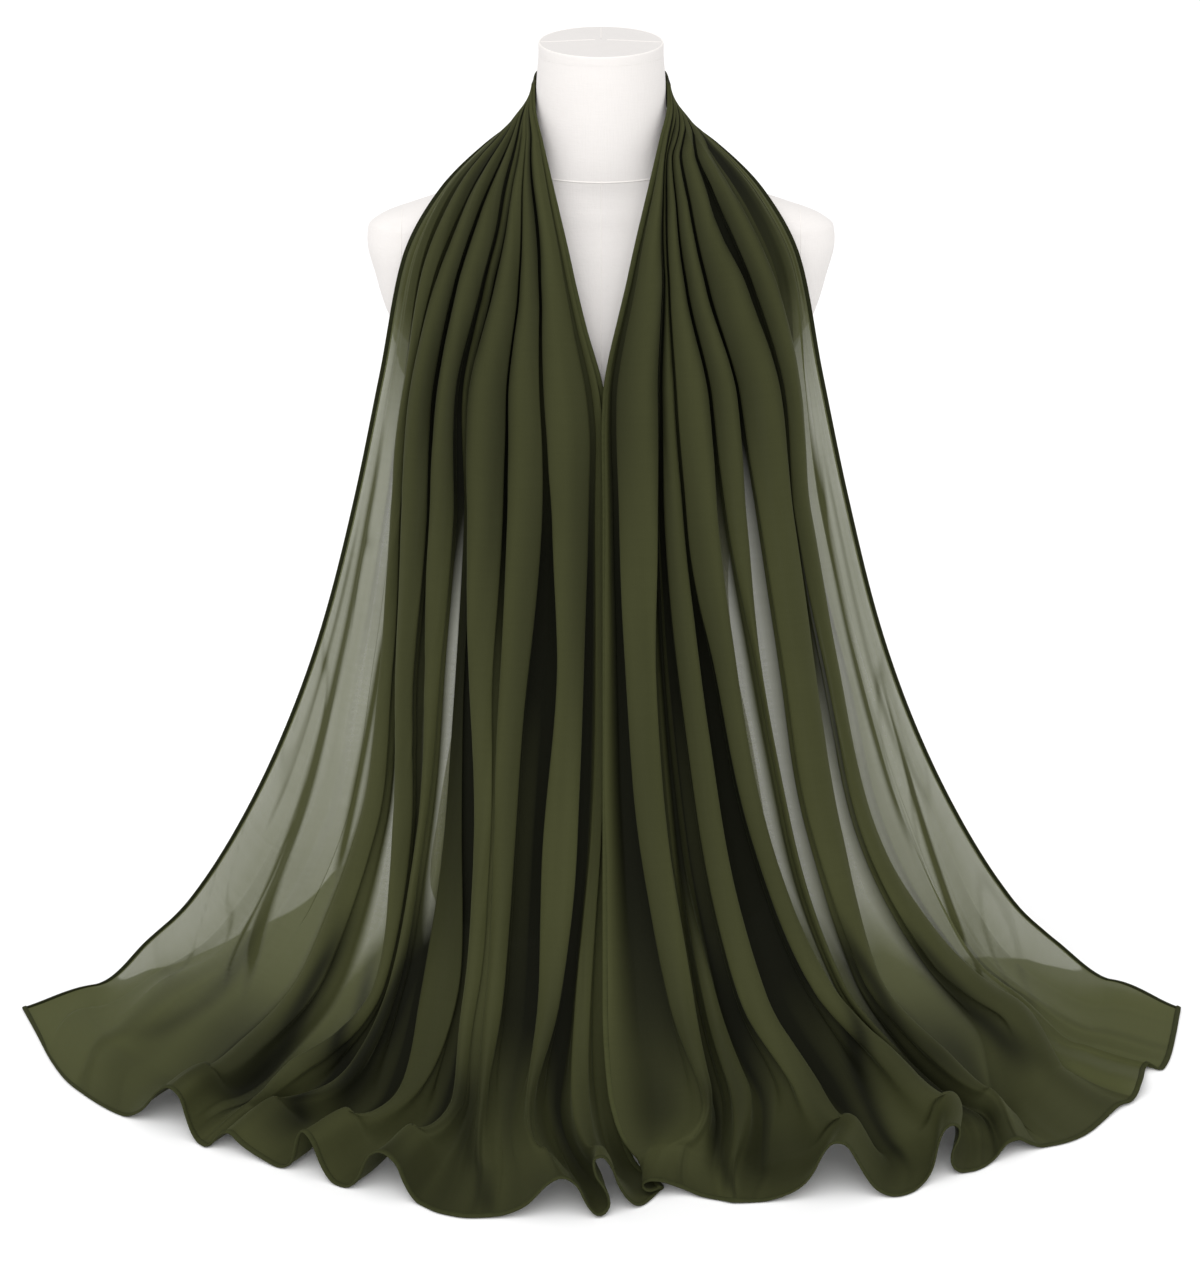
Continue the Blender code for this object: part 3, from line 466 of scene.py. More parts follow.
CAP_OVAL = 0.96         # how far the inner rings are drawn in to the front and back, for 1 sideways
CAP_SIDES = 96
CAP_ROUND_STEPS = 8
CAP_DOME_STEPS = (0.15, 0.97, 10)
CAP_SEAM_STEPS = (0.1, 0.99, 24)
CAP_SEAM_SHORT = 0.002  # how much shorter the plate's seam to the back is
ARM_CUT = 0.146
ARM_SEAM = (0.5525, 0.6495)     # its lowest and highest point
MIDDLE_SEAM_FOOT = 0.1
NECK_SEAM_HEIGHT = 0.678
NECK_SEAM_TILT = 0.0046         # how much higher it is at the side than in front
RIM_INSET = 0.0008
RIM_DROP = 0.0003
CORD_SIDES = 8
SEAM_RINGS = {"arm": 60, "middle": 240, "neck": 120}
SEAM_RADIUS = {"arm": 0.0003, "middle": 0.00025, "neck": 0.0005, "plate": 0.0003}
# Height and radius of each turned piece of the stand, from its foot up.
STAND_COLLAR_TOP = 0.0283
STAND_PROFILES = {
    "base_plate": ((0.0, 0.0), (0.0, 0.1015), (0.0008, 0.1032), (0.0025, 0.1045),
                   (0.0045, 0.105), (0.0085, 0.105), (0.0102, 0.1045), (0.0114, 0.1032),
                   (0.012, 0.1012), (0.012, 0.07), (0.012, 0.0)),
    "stand_collar": ((0.0123, 0.0), (0.0123, 0.0255), (0.0128, 0.026), (0.0235, 0.026),
                     (0.0255, 0.0252), (0.0272, 0.0235), (STAND_COLLAR_TOP, 0.0215),
                     (STAND_COLLAR_TOP, 0.0)),
    "stand_pole": ((STAND_COLLAR_TOP + 0.0003, 0.0), (STAND_COLLAR_TOP + 0.0003, 0.0125),
                   (0.0955, 0.0125), (0.0962, 0.0125), (0.0967, 0.0122), (0.0967, 0.0)),
}
TURNED_CLEAR = 1e-5     # added to each radius, so that no ring of points falls together
SHARP_EDGE = math.radians(50)
STAND_SHARP_EDGE = math.radians(40)

# ---------------------------------------------------------------- colours
# The darker and the lighter colour between which each finish varies, linear.
TONES = {
    "chiffon": ((0.0335, 0.0358, 0.0125, 1), (0.061, 0.0648, 0.0245, 1)),
    "veil": ((0.066, 0.072, 0.024, 1), (0.098, 0.106, 0.038, 1)),
    "outer_hem": ((0.0110, 0.0122, 0.0048, 1), (0.0190, 0.0212, 0.0084, 1)),
    "inner_hem": ((0.034, 0.0370, 0.0140, 1), (0.052, 0.056, 0.022, 1)),
    "thread": ((0.020, 0.0222, 0.0090, 1), (0.038, 0.0415, 0.018, 1)),
    "linen": ((0.70, 0.669, 0.65, 1), (0.785, 0.757, 0.737, 1)),
    "seam": ((0.76, 0.73, 0.70, 1), (0.86, 0.83, 0.80, 1)),
    "paint": ((0.70, 0.68, 0.65, 1), (0.77, 0.75, 0.72, 1)),
    "floor": ((0.955, 0.955, 0.955, 1), (0.965, 0.965, 0.965, 1)),
}
# the colour that the painted shade in the chiffon's folds goes towards
CLOTH_SHADOW = (0.0055, 0.006, 0.0022, 1)
CLOTH_SHEEN = (0.8, 0.85, 0.5, 1)
# the colour that the painted shade on the top of the neck plate goes towards
BLACK = (0.0, 0.0, 0.0, 1)
YARN_PITCH = 0.0006     # of the chiffon's weave
WAVE_PERIOD = 0.314     # metres between the bands of a wave texture of scale 1

# ---------------------------------------------------------------- stage and camera
FLOOR_HALF = 30.0
FLOOR_LEVEL = -0.0002
WORLD_STRENGTH = 0.76
# Suns so wide that the whole floor is lit alike: tilt, turn and spread in degrees, and strength.
LIGHTS = (
    ("key", 36.0, -36.0, 60.0, 1.02),
    ("fill", 40.0, 40.0, 70.0, 0.42),
    ("front", 66.0, 0.0, 40.0, 0.62),
)
PHOTO_WIDTH = 1200.0
PHOTO_HEIGHT = 1275.0
FOCAL_PIXELS = 3650.0   # the lens, in pixels of the photo
CENTRE_PIXEL = 601.0    # the column of the photo that the camera faces
FILM_HEIGHT = 36.0
CAMERA_PITCH = 20.0     # degrees down
CAMERA_PLACE = (0.0, -2.632, 1.2704)


# ---------------------------------------------------------------- helpers
def ease(share):
    held = np.clip(share, 0.0, 1.0)
    return held * held * (3.0 - 2.0 * held)


def past(where, start, turn):
    """0 up to a place, then easing to 1 in the next stretch."""
    return ease((where - start) / turn)


def until(where, end, turn):
    """1 up to a place, then easing to 0 in the next stretch."""
    return 1.0 - ease((where - end) / turn)


def unit(vectors):
    return vectors / np.maximum(np.linalg.norm(vectors, axis=-1, keepdims=True), 1e-12)


def smooth_values(knots, values, where):
    """A column of numbers between its rows, along a curve that never overshoots a row."""
    knots = np.asarray(knots, float)
    values = np.asarray(values, float)
    steps = np.diff(knots)
    slopes = np.diff(values) / steps
    tangents = np.zeros(len(knots))
    tangents[0] = slopes[0]
    tangents[-1] = slopes[-1]
    for row in range(1, len(knots) - 1):
        before = slopes[row - 1]
        after = slopes[row]
        if before * after > 0:
            near = 2 * steps[row] + steps[row - 1]
            far = steps[row] + 2 * steps[row - 1]
            tangents[row] = (near + far) / (near / before + far / after)
    where = np.clip(where, knots[0], knots[-1])
    row = np.clip(np.searchsorted(knots, where, side="right") - 1, 0, len(steps) - 1)
    share = (where - knots[row]) / steps[row]
    square = share * share
    cube = square * share
    return ((2 * cube - 3 * square + 1) * values[row]
            + (cube - 2 * square + share) * steps[row] * tangents[row]
            + (3 * square - 2 * cube) * values[row + 1]
            + (cube - square) * steps[row] * tangents[row + 1])


def soft_rise(height):
    """Nearly the height above the floor, easing to nothing where it would be below it."""
    return FLOOR_EASE * np.logaddexp(0.0, height / FLOOR_EASE)


def between_rows(table, names, where):
    """The columns of a table after its first, by name, at places between its rows that are given
    as the first column is."""
    knots, *columns = zip(*table)
    return {name: smooth_values(knots, values, where)
            for name, values in zip(names[1:], columns, strict=True)}


def value_noise(seed, across, along):
    """Smooth noise from -1 to 1 over two coordinates, the same on each run."""
    table = np.random.default_rng(seed).uniform(-1.0, 1.0, (NOISE_SIZE, NOISE_SIZE))
    row = np.floor(across).astype(int)
    place = np.floor(along).astype(int)
    over = ease(across - row)
    down = ease(along - place)
    near, far = (table[row % NOISE_SIZE, (place + step) % NOISE_SIZE] * (1 - over)
                 + table[(row + 1) % NOISE_SIZE, (place + step) % NOISE_SIZE] * over
                 for step in (0, 1))
    return near * (1 - down) + far * down


def rounded(values, samples):
    """A smooth curve near its control values (last axis), through the first and the last."""
    first = 2 * values[..., :1] - values[..., 1:2]
    last = 2 * values[..., -1:] - values[..., -2:-1]
    padded = np.concatenate([first, values, last], axis=-1)
    spans = values.shape[-1] - 1
    place = np.linspace(0.0, spans, samples)
    row = np.minimum(place.astype(int), spans - 1)
    share = place - row
    weights = ((1 - share) ** 3,
               3 * share ** 3 - 6 * share ** 2 + 4,
               -3 * share ** 3 + 3 * share ** 2 + 3 * share + 1,
               share ** 3)
    return sum(weight * padded[..., row + shift] for shift, weight in enumerate(weights)) / 6


def add_mesh(name, points, faces, finish, slot, uv=None, tints=None):
    """One smooth-shaded piece; uv is one pair for each point, tints a table of point attributes."""
    mesh = bpy.data.meshes.new(name)
    points = np.asarray(points, float).reshape(-1, 3)
    mesh.from_pydata(points.tolist(), [], [tuple(map(int, face)) for face in faces])
    mesh.shade_smooth()
    if uv is not None:
        layer = mesh.uv_layers.new(name="cloth")
        loops = np.zeros(len(mesh.loops), np.int32)
        mesh.loops.foreach_get("vertex_index", loops)
        layer.data.foreach_set("uv", np.asarray(uv, np.float32)[loops].ravel())
    for label, values in (tints or {}).items():
        mesh.attributes.new(label, "FLOAT", "POINT").data.foreach_set(
            "value", np.asarray(values, np.float32).ravel())
    mesh.materials.append(finish)
    made = bpy.data.objects.new(name, mesh)
    bpy.context.scene.collection.objects.link(made)
    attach(made, "root")
    return made


def join_parts(parts):
    """Points and faces of several parts as one."""
    points = []
    faces = []
    start = 0
    for spots, sides in parts:
        points.append(np.asarray(spots, float).reshape(-1, 3))
        faces += [[corner + start for corner in side] for side in sides]
        start += len(points[-1])
    return np.concatenate(points), faces


def along_line(points):
    """How far along a line each of its points is."""
    steps = np.linalg.norm(np.diff(points, axis=0), axis=-1)
    return np.concatenate([[0.0], np.cumsum(steps)])


def read_line(run, values, stops):
    """The values of a line, one row for each of its points, at other places along it."""
    return np.stack([np.interp(stops, run, values[:, axis]) for axis in range(3)], axis=-1)


def grid_faces(rows, columns, closed=False):
    """Quads of a grid of points; closed joins the last column to the first."""
    upper = np.arange(rows - 1)[:, None] * columns
    lower = upper + columns
    here = np.arange(columns if closed else columns - 1)[None, :]
    beside = (here + 1) % columns
    quads = np.stack([upper + here, upper + beside, lower + beside, lower + here], axis=-1)
    return quads.reshape(-1, 4)


def lofted(rings):
    """Points and faces of a closed body through rings, with a flat face at each end."""
    rows, count = rings.shape[:2]
    faces = grid_faces(rows, count, closed=True).tolist()
    faces.append(list(range(count - 1, -1, -1)))
    faces.append([(rows - 1) * count + place for place in range(count)])
    return rings.reshape(-1, 3), faces


# ---------------------------------------------------------------- materials
class Nodes:
    """Short calls for building one material's node tree."""

    def __init__(self, name):
        self.material = bpy.data.materials.new(name)
        self.material.use_nodes = True
        self.tree = self.material.node_tree
        self.shader = self.tree.nodes["Principled BSDF"]

    def feed(self, value, socket):
        if isinstance(value, bpy.types.NodeSocket):
            self.tree.links.new(value, socket)
        else:
            socket.default_value = value

    def set(self, **values):
        for label, value in values.items():
            self.feed(value, self.shader.inputs[label.replace("_", " ")])

    def on_cloth(self):
        """Metres across and along the cloth."""
        node = self.tree.nodes.new("ShaderNodeUVMap")
        node.uv_map = "cloth"
        return node.outputs[0]

    def on_object(self):
        return self.tree.nodes.new("ShaderNodeTexCoord").outputs["Object"]

    def math(self, operation, *values):
        node = self.tree.nodes.new("ShaderNodeMath")
        node.operation = operation
        for value, socket in zip(values, node.inputs):
            self.feed(value, socket)
        return node.outputs[0]

    def noise(self, where, scale, detail=2.0, stretch=(1, 1, 1)):
        mapping = self.tree.nodes.new("ShaderNodeMapping")
        mapping.inputs["Scale"].default_value = stretch
        self.feed(where, mapping.inputs["Vector"])
        node = self.tree.nodes.new("ShaderNodeTexNoise")
        node.inputs["Scale"].default_value = scale
        node.inputs["Detail"].default_value = detail
        self.feed(mapping.outputs[0], node.inputs["Vector"])
        return node.outputs["Fac"]

    def bands(self, where, pitch, direction):
        node = self.tree.nodes.new("ShaderNodeTexWave")
        node.wave_type = "BANDS"
        node.bands_direction = direction
        node.inputs["Scale"].default_value = WAVE_PERIOD / pitch
        self.feed(where, node.inputs["Vector"])
        return node.outputs["Fac"]

    def mix(self, share, first, second):
        node = self.tree.nodes.new("ShaderNodeMix")
        node.data_type = "RGBA"
        self.feed(share, node.inputs["Factor"])
        self.feed(first, node.inputs["A"])
        self.feed(second, node.inputs["B"])
        return node.outputs["Result"]

    def ramp(self, share, low, high, span=(0.0, 1.0)):
        node = self.tree.nodes.new("ShaderNodeMapRange")
        node.inputs["From Min"].default_value = span[0]
        node.inputs["From Max"].default_value = span[1]
        node.inputs["To Min"].default_value = low
        node.inputs["To Max"].default_value = high
        self.feed(share, node.inputs["Value"])
        return node.outputs["Result"]

    def bump(self, height, distance, strength=1.0):
        node = self.tree.nodes.new("ShaderNodeBump")
        node.inputs["Distance"].default_value = distance
        node.inputs["Strength"].default_value = strength
        self.feed(height, node.inputs["Height"])
        return node.outputs["Normal"]

    def attribute(self, label):
        node = self.tree.nodes.new("ShaderNodeAttribute")
        node.attribute_name = label
        return node.outputs["Fac"]


def chiffon_material():
    """Sheer crinkled cloth, denser by its attributes where it lies in folds, and darkened there by
    painted shade from its lit attribute.
    """
    net = Nodes("chiffon_sheer")
    where = net.on_cloth()
    slub = net.noise(where, 60.0, 3.0, (1.0, 6.0, 1.0))
    cloud = net.noise(where, 9.0, 2.0)
    weave = net.math("MULTIPLY", net.bands(where, YARN_PITCH, "X"), net.bands(where, YARN_PITCH, "Y"))
    streak = net.noise(where, 70.0, 3.0, (1.0, 0.035, 1.0))
    shade = net.math("ADD", net.math("MULTIPLY", slub, 0.2), net.math("MULTIPLY", cloud, 0.3))
    shade = net.math("ADD", shade, net.math("MULTIPLY", streak, 0.5))
    full_tone = net.mix(shade, *TONES["chiffon"])
    veil_tone = net.mix(shade, *TONES["veil"])
    dense = net.ramp(net.attribute("dense"), 0.0, 1.0, (0.12, 0.78))
    double = net.ramp(net.attribute("double"), 0.0, DOUBLE_DENSE, (-0.5, 0.5))
    body = net.math("MAXIMUM", dense, net.math("MULTIPLY", double, 0.58))
    open_tone = net.mix(body, veil_tone, full_tone)
    dense = net.math("MAXIMUM", dense, double)
    # painted shade: where the lit attribute is low the colour goes towards CLOTH_SHADOW, the more so
    # where the cloth is dense
    painted_shade_depth = net.ramp(net.attribute("lit"), DEEPEST, 0.0)
    painted_shade = net.math("MULTIPLY", painted_shade_depth, dense)
    colour = net.mix(painted_shade, open_tone, CLOTH_SHADOW)
    through = net.math("MULTIPLY", net.ramp(dense, 0.172, 0.001),
                       net.math("ADD", net.ramp(shade, 0.62, 1.22, (0.3, 0.7)),
                                net.math("MULTIPLY", weave, 0.08)))
    relief = net.math("ADD", net.math("MULTIPLY", weave, 0.4), slub)
    net.set(Base_Color=colour, Alpha=net.math("SUBTRACT", 1.0, through), Roughness=0.72,
            Sheen_Weight=0.06, Sheen_Roughness=0.4, Sheen_Tint=CLOTH_SHEEN,
            Specular_IOR_Level=0.08, Normal=net.bump(relief, 0.00025, 0.35))
    return net.material


def hem_material():
    net = Nodes("rolled_hem")
    where = net.on_cloth()
    slub = net.noise(where, 120.0, 3.0, (1.0, 3.0, 1.0))
    colour = net.mix(net.attribute("lightness"), net.mix(slub, *TONES["outer_hem"]),
                     net.mix(slub, *TONES["inner_hem"]))
    net.set(Base_Color=colour, Roughness=0.8, Sheen_Weight=0.01, Sheen_Roughness=0.4,
            Sheen_Tint=CLOTH_SHEEN, Specular_IOR_Level=0.05,
            Normal=net.bump(net.noise(where, 900.0, 2.0), 0.0004, 0.5))
    return net.material


def stitch_material():
    net = Nodes("hem_thread")
    twist = net.noise(net.on_object(), 1500.0, 2.0)
    net.set(Base_Color=net.mix(twist, *TONES["thread"]), Roughness=0.7, Specular_IOR_Level=0.1,
            Normal=net.bump(twist, 0.0001, 0.5))
    return net.material


def linen_material():
    """Woven cover, with painted shade darkening the top of the neck plate."""
    net = Nodes("form_linen_cover")
    where = net.on_object()
    warp = net.noise(where, 900.0, 2.0, (1.0, 1.0, 0.12))
    weft = net.noise(where, 900.0, 2.0, (0.14, 0.14, 1.0))
    cloud = net.noise(where, 14.0, 3.0)
    thread = net.math("MULTIPLY", net.math("ADD", warp, weft), 0.5)
    tone = net.math("ADD", net.math("MULTIPLY", thread, 0.6), net.math("MULTIPLY", cloud, 0.4))
    cover = net.mix(tone, *TONES["linen"])
    # painted shade: the top of the neck plate, which faces up, is darkened towards black
    colour = net.mix(net.math("MULTIPLY", net.attribute("top"), 0.10), cover, BLACK)
    net.set(Base_Color=colour, Roughness=0.88, Sheen_Weight=0.2, Sheen_Roughness=0.5,
            Specular_IOR_Level=0.3, Normal=net.bump(thread, 0.0006, 0.45))
    return net.material


def seam_material():
    net = Nodes("form_seam")
    grain = net.noise(net.on_object(), 1200.0, 2.0)
    net.set(Base_Color=net.mix(grain, *TONES["seam"]), Roughness=0.9,
            Normal=net.bump(grain, 0.0004, 0.4))
    return net.material


def paint_material():
    net = Nodes("stand_satin_paint")
    where = net.on_object()
    peel = net.noise(where, 420.0, 2.0)
    wear = net.noise(where, 26.0, 4.0)
    net.set(Base_Color=net.mix(wear, *TONES["paint"]), Roughness=net.ramp(wear, 0.36, 0.52),
            Coat_Weight=0.15, Normal=net.bump(peel, 0.0003, 0.25))
    return net.material


def floor_material():
    net = Nodes("studio_floor")
    grain = net.noise(net.on_object(), 3.0, 2.0)
    net.set(Base_Color=net.mix(grain, *TONES["floor"]), Roughness=0.9, Specular_IOR_Level=0.0)
    return net.material


# ---------------------------------------------------------------- the falls of the scarf
def base_point(angle, along, side):
    """A point of the unfolded half scarf on the +X side: a quarter oval between its two edges."""
    edge = between_rows(SECTIONS, SECTION_COLUMNS, along)
    x = edge["inner_x"] + (edge["outer_x"] - edge["inner_x"]) * np.sin(angle)
    turned = past(along, HEM_POWER_FROM, 1.0 - HEM_POWER_FROM)
    power = SECTION_POWER + (HEM_POWER[side] - SECTION_POWER) * turned
    reach = np.maximum(1.0 - np.sin(angle) ** power, 0.0) ** (1.0 / power)
    y = edge["outer_y"] + (edge["inner_y"] - edge["outer_y"]) * reach
    z = edge["inner_z"] + (edge["outer_z"] - edge["inner_z"]) * angle / (math.pi / 2)
    return np.stack([x, y, z], axis=-1)


def base_normal(angle, along, side):
    """Points out of the cloth: to the front where it hangs, up where it lies."""
    outer = base_point(np.minimum(angle + NORMAL_STEP, math.pi / 2), along, side)
    inner = base_point(np.maximum(angle - NORMAL_STEP, 0.0), along, side)
    lower = base_point(angle, np.minimum(along + NORMAL_STEP, 1.0), side)
    upper = base_point(angle, np.maximum(along - NORMAL_STEP, 0.0), side)
    computed = unit(np.cross(lower - upper, outer - inner))
    sideways = np.zeros_like(computed)
    sideways[..., 0] = 1.0
    share = ease(along / TIE_BLEND)[..., None]
    return unit(sideways * (1.0 - share) + computed * share)


def opening_value(side, name, along):
    return between_rows(OPENING, OPENING_COLUMNS, along)[f"{side}_{name}"]


def pleat_value(pleat, name, along):
    values = pleat[PLEAT_COLUMNS.index(name)]
    if isinstance(values, tuple):
        return smooth_values(STATIONS, values, along)
    return values + 0.0 * along


def pleat_noise(kind, number, along):
    """Slow noise along one pleat, from -1 to 1."""
    seed, bends, apart, rows = PLEAT_NOISE[kind]
    return value_noise(seed + number, along * bends + apart * number, 0.0 * along + rows * number)


def pleat_rows(side, along, width):
    """The table's pleats at places along the cloth, with heights in metres.  They wander a little
    to the sides, and close up over the valleys at the yoke."""
    pleats = [{name: pleat_value(pleat, name, along) for name in PLEAT_COLUMNS[1:]}
              for pleat in PLEATS[side]]
    for number, pleat in enumerate(pleats):
        drift = DRIFT * pleat_noise("drift", number, along)
        pleat["start"] = pleat["start"] + drift * ease(along / DRIFT_IN)
        pleat["end"] = pleat["end"] + drift * ease(along / DRIFT_IN)
        pleat["height"] = pleat["height"] * MILLIMETRE
    for pleat, following in zip(pleats, pleats[1:]):
        room = np.maximum(following["start"] - pleat["end"], 0.0)
        close = np.minimum(CLOSE_UP / width, CLOSE_SHARE * room) * pleat["tuck"]
        close = close * until(along, *CLOSE_TO)
        pleat["end"] = pleat["end"] + close
        following["start"] = following["start"] - close
    return pleats


def section_controls(side, along):
    """Control points of all sections, by row: share across as seen from the front, height, how
    dense the cloth lies and how open it is to the light, which is painted as shade in its colour."""
    edge_outer = base_point(np.full_like(along, math.pi / 2), along, side)
    edge_inner = base_point(np.zeros_like(along), along, side)
    width = edge_outer[:, 0] - edge_inner[:, 0]
    undercut = UNDERCUT * ease(along / UNDERCUT_IN) / width
    pleats = pleat_rows(side, along, width)
    nought = 0.0 * along
    rise = opening_value(side, "rise", along)
    border = np.minimum(BORDER / width, BORDER_SHARE * pleats[0]["start"])
    dense = pleats[0]["gap"]
    controls = [(nought, rise, dense, 1.0), (border, rise, dense, 1.0)]
    previous = {"start": nought, "end": border, "height": rise, "face": dense}

    tucked = until(along, *TUCK_TO)
    shaded = until(along, *SHADED_TO)
    crease = until(along, *CREASE_TO)
    yoke = until(along, *YOKE_TO)

    def side_wall(pleat, edge, away, room, low, dark, fade, glow=0.0, foot=0.0):
        """From the edge of a face down to the valley: in layers that run in under the face, or
        as a soft slope that runs out of it."""
        rise = pleat["height"] - low
        crisp = pleat["tuck"] * tucked
        under = np.minimum(undercut, UNDERCUT_SHARE * (pleat["end"] - pleat["start"]))
        slope = np.minimum(SOFT_RUN / width, SOFT_SHARE * room)
        wall = []
        for (tuck_x, tuck_z, tuck_lit), (soft_x, soft_z) in zip(TUCK_WALL, SOFT_WALL):
            out = crisp * tuck_x * under + (1.0 - crisp) * soft_x * slope
            level = crisp * tuck_z + (1.0 - crisp) * soft_z
            # painted shade down the side of the pleat, darker where it is tucked into a dark valley
            open_lit = np.maximum(tuck_lit, glow) * (1.0 - fade)
            light = 1.0 - (1.0 - open_lit) * np.maximum(crisp * shaded, fade) * dark
            light = np.minimum(light, 1.0 - foot * (1.0 - soft_z) * dark)
            light = light * (1.0 - (1.0 - pleat["open"]) * level)
            wall.append((edge + away * out, low + rise * level, pleat["face"], light))
        return wall

    for number, pleat in enumerate(pleats):
        start, end, height, gap = (pleat[name] for name in ("start", "end", "height", "gap"))
        room = np.maximum(start - previous["end"], 0.0)
        low = np.minimum(height, previous["height"]) * (1.0 - pleat["valley"])
        # how dark the painted shade is in the valley before this pleat, on its sides and on its face
        dark = pleat["valley"] * np.maximum(gap, past(along, *VALLEY_FROM))
        glow = GLOW + GLOW_RANGE * pleat_noise("glow", number, along)
        glow = np.clip(glow, 0.0, GLOW_MOST) * past(along, *GLOW_FROM)
        near = 1.0 - dark * crease * np.maximum(pleat["tuck"], NEAR_LEAST)
        light = 1.0 - dark * shaded * np.maximum(pleat["tuck"], LIGHT_LEAST) * (1.0 - glow)
        fade = FACE_FADE + FACE_FADE_RANGE * pleat_noise("fade", number, along)
        fade = np.clip(fade, 0.0, FACE_FADE_MOST) * crease + YOKE_FADE * yoke
        fade = fade * ease(along / FACE_FADE_IN)
        if number:
            controls += side_wall(previous, previous["end"], 1.0, room, low, dark,
                                  YOKE_FADE_NEAR * yoke, foot=CREASE_SHARE * crease)
        controls += [(previous["end"] + share * room, low, gap, shade) for share, shade
                     in zip(VALLEY_SHARES, (near, 0.5 * (near + light), light))]
        controls += side_wall(pleat, start, -1.0, room, low, dark, fade, glow)[::-1]
        for share, shading in zip(FACE_SHARES, FACE_SHADING):
            shade = (FACE_LIT + FACE_YOKE * yoke - shading * fade * dark) * pleat["open"]
            controls.append((start + share * (end - start), FACE_CROWN * height,
                             pleat["face"], shade))
        previous = pleat
    room = 1.0 - previous["end"]
    bare = smooth_values(STATIONS, BARE, along)
    controls += side_wall(previous, previous["end"], 1.0, room, nought, bare, 0.0)
    controls += [(previous["end"] + share * room, nought + swell, bare, 1.0)
                 for share, swell in SIDE_SWELLS]
    controls.append((nought + 1.0, nought, bare, 1.0))
    shares, heights, dense, lit = (
        np.stack([nought + control[place] for control in controls], axis=-1)
        for place in range(4))
    return np.arcsin(np.clip(shares, 0.0, 1.0)), heights, dense, lit


def hem_points(side, samples):
    """The points of the table's hem for the columns of a fall, on the +X side."""
    place = np.linspace(HEM_LINE[side][0][0], HEM_LINE[side][-1][0], samples)
    where = between_rows(HEM_LINE[side], HEM_COLUMNS, place)
    line = MILLIMETRE * np.stack([where["x"], where["y"], where["z"]], axis=-1)
    for _ in range(HEM_LINE_ROUNDS):
        line[1:-1] = 0.25 * line[:-2] + 0.5 * line[1:-1] + 0.25 * line[2:]
    return line


def streaks(rows, place, across):
    """How strong the strongest of a table's streaks is at each point."""
    strongest = np.zeros_like(across)
    for start, end, first, last, bow, half_width, strength in rows:
        share = np.clip((place - start) / (end - start), 0.0, 1.0)
        middle = first + (last - first) * share + 4.0 * bow * share * (1.0 - share)
        fade = ease(share / STREAK_END) * ease((1.0 - share) / STREAK_END)
        spread = np.exp(-((across - middle) / half_width) ** 2)
        strongest = np.maximum(strongest, strength * fade * spread)
    return strongest


def swells(side, name, across, along):
    """One kind of noise, at points of a fall."""
    number, crosswise, lengthwise, drift, slant = SWELLS[name]
    return value_noise(SWELL_SEEDS[side] + number, across * crosswise + along * drift,
                       along * lengthwise + across * slant)


def double_share(side, across, along):
    """How far each point is into the parts where the cloth lies double: over 0, it is."""
    start = between_rows(DOUBLE[side], DOUBLE_COLUMNS, across)
    return FALL_LENGTH * np.maximum((along - start["train"]) / start["softness"],
                                    (start["yoke"] - along) / YOKE_SOFTNESS)


def fall_surface(side):
    """One fall, one row for each section from the neck to the hem: its points, and for each point
    how dense the cloth lies, how open it is to the light, which is painted as shade in its colour,
    and how far it is into the parts where it lies double."""
    rows = np.linspace(0.0, 1.0, FALL_ROWS) ** ROW_POWER
    controls = section_controls(side, rows)
    samples = (controls[0].shape[1] - 1) * SPAN_SAMPLES + 1
    angle, height, dense, lit = (rounded(values, samples) for values in controls)
    angle = np.clip(angle, 0.0, math.pi / 2)
    along = np.broadcast_to(rows[:, None], angle.shape)
    across = np.sin(angle)

    crumple = ((1.0 - FINE_SHARE) * swells(side, "crumple", across, along)
               + FINE_SHARE * swells(side, "fine", across, along))
    roll = swells(side, "roll", across, along)
    hung = ease(along / HUNG_IN) * (HUNG_LEAST + (1.0 - HUNG_LEAST) * ease(height / HUNG_HEIGHT))
    laid = past(along, *ROLL_FROM) * (1.0 - ROLL_LOSS * past(along, *ROLL_TO))
    height = height + hung * (CRUMPLE_HEIGHT * crumple
                              + SWAY_HEIGHT * swells(side, "sway", across, along))
    height = height + ROLL_HEIGHT * laid * (ROLL_MIDDLE + roll)
    points = base_point(angle, along, side) + base_normal(angle, along, side) * height[..., None]
    points[..., 0] -= opening_value(side, "past", rows)[:, None] * (1.0 - across)
    points[..., 2] = FLOOR_LIFT + soft_rise(points[..., 2] - FLOOR_LIFT)
    follow = past(rows, HEM_LINE_FROM, 1.0 - HEM_LINE_FROM)[:, None, None]
    points = points + follow * (hem_points(side, samples) - points[-1])
    if side == "left":
        points[..., 0] *= -1.0

    lines = 1.0 - WRINKLE_THIN * np.abs(swells(side, "wrinkle", across, along))
    sheer = past(across, *WRINKLE_ACROSS) * past(along, *WRINKLE_FROM) * until(along, *WRINKLE_TO)
    dense = np.maximum(np.maximum(dense, streaks(STREAKS[side], along, across)), 0.0)
    dense = dense + WRINKLE * sheer * np.clip(lines, 0.0, 1.0)
    # painted shade over the train, darker in the hollows of its rolling swells, and the painted dark
    # folds of SHADES
    lit = lit * (1.0 - TRAIN_SHADE * past(along, *TRAIN_FROM) * (1.0 - TRAIN_PATCHES * roll)
                 * (1.0 - TRAIN_SIDE_LOSS * past(across, *TRAIN_SIDE)))
    lit = lit * (1.0 - streaks(SHADES[side], along, across))
    return points, {"dense": dense, "lit": np.clip(lit, 0.0, 1.0),
                    "double": double_share(side, across, along)}


# ---------------------------------------------------------------- sheets and rolled hems
def surface_normals(points, outward):
    """Points out of a grid of points, or into it where outward is -1."""
    across = np.gradient(points, axis=1)
    down = np.gradient(points, axis=0)
    return unit(np.cross(down, across)) * outward


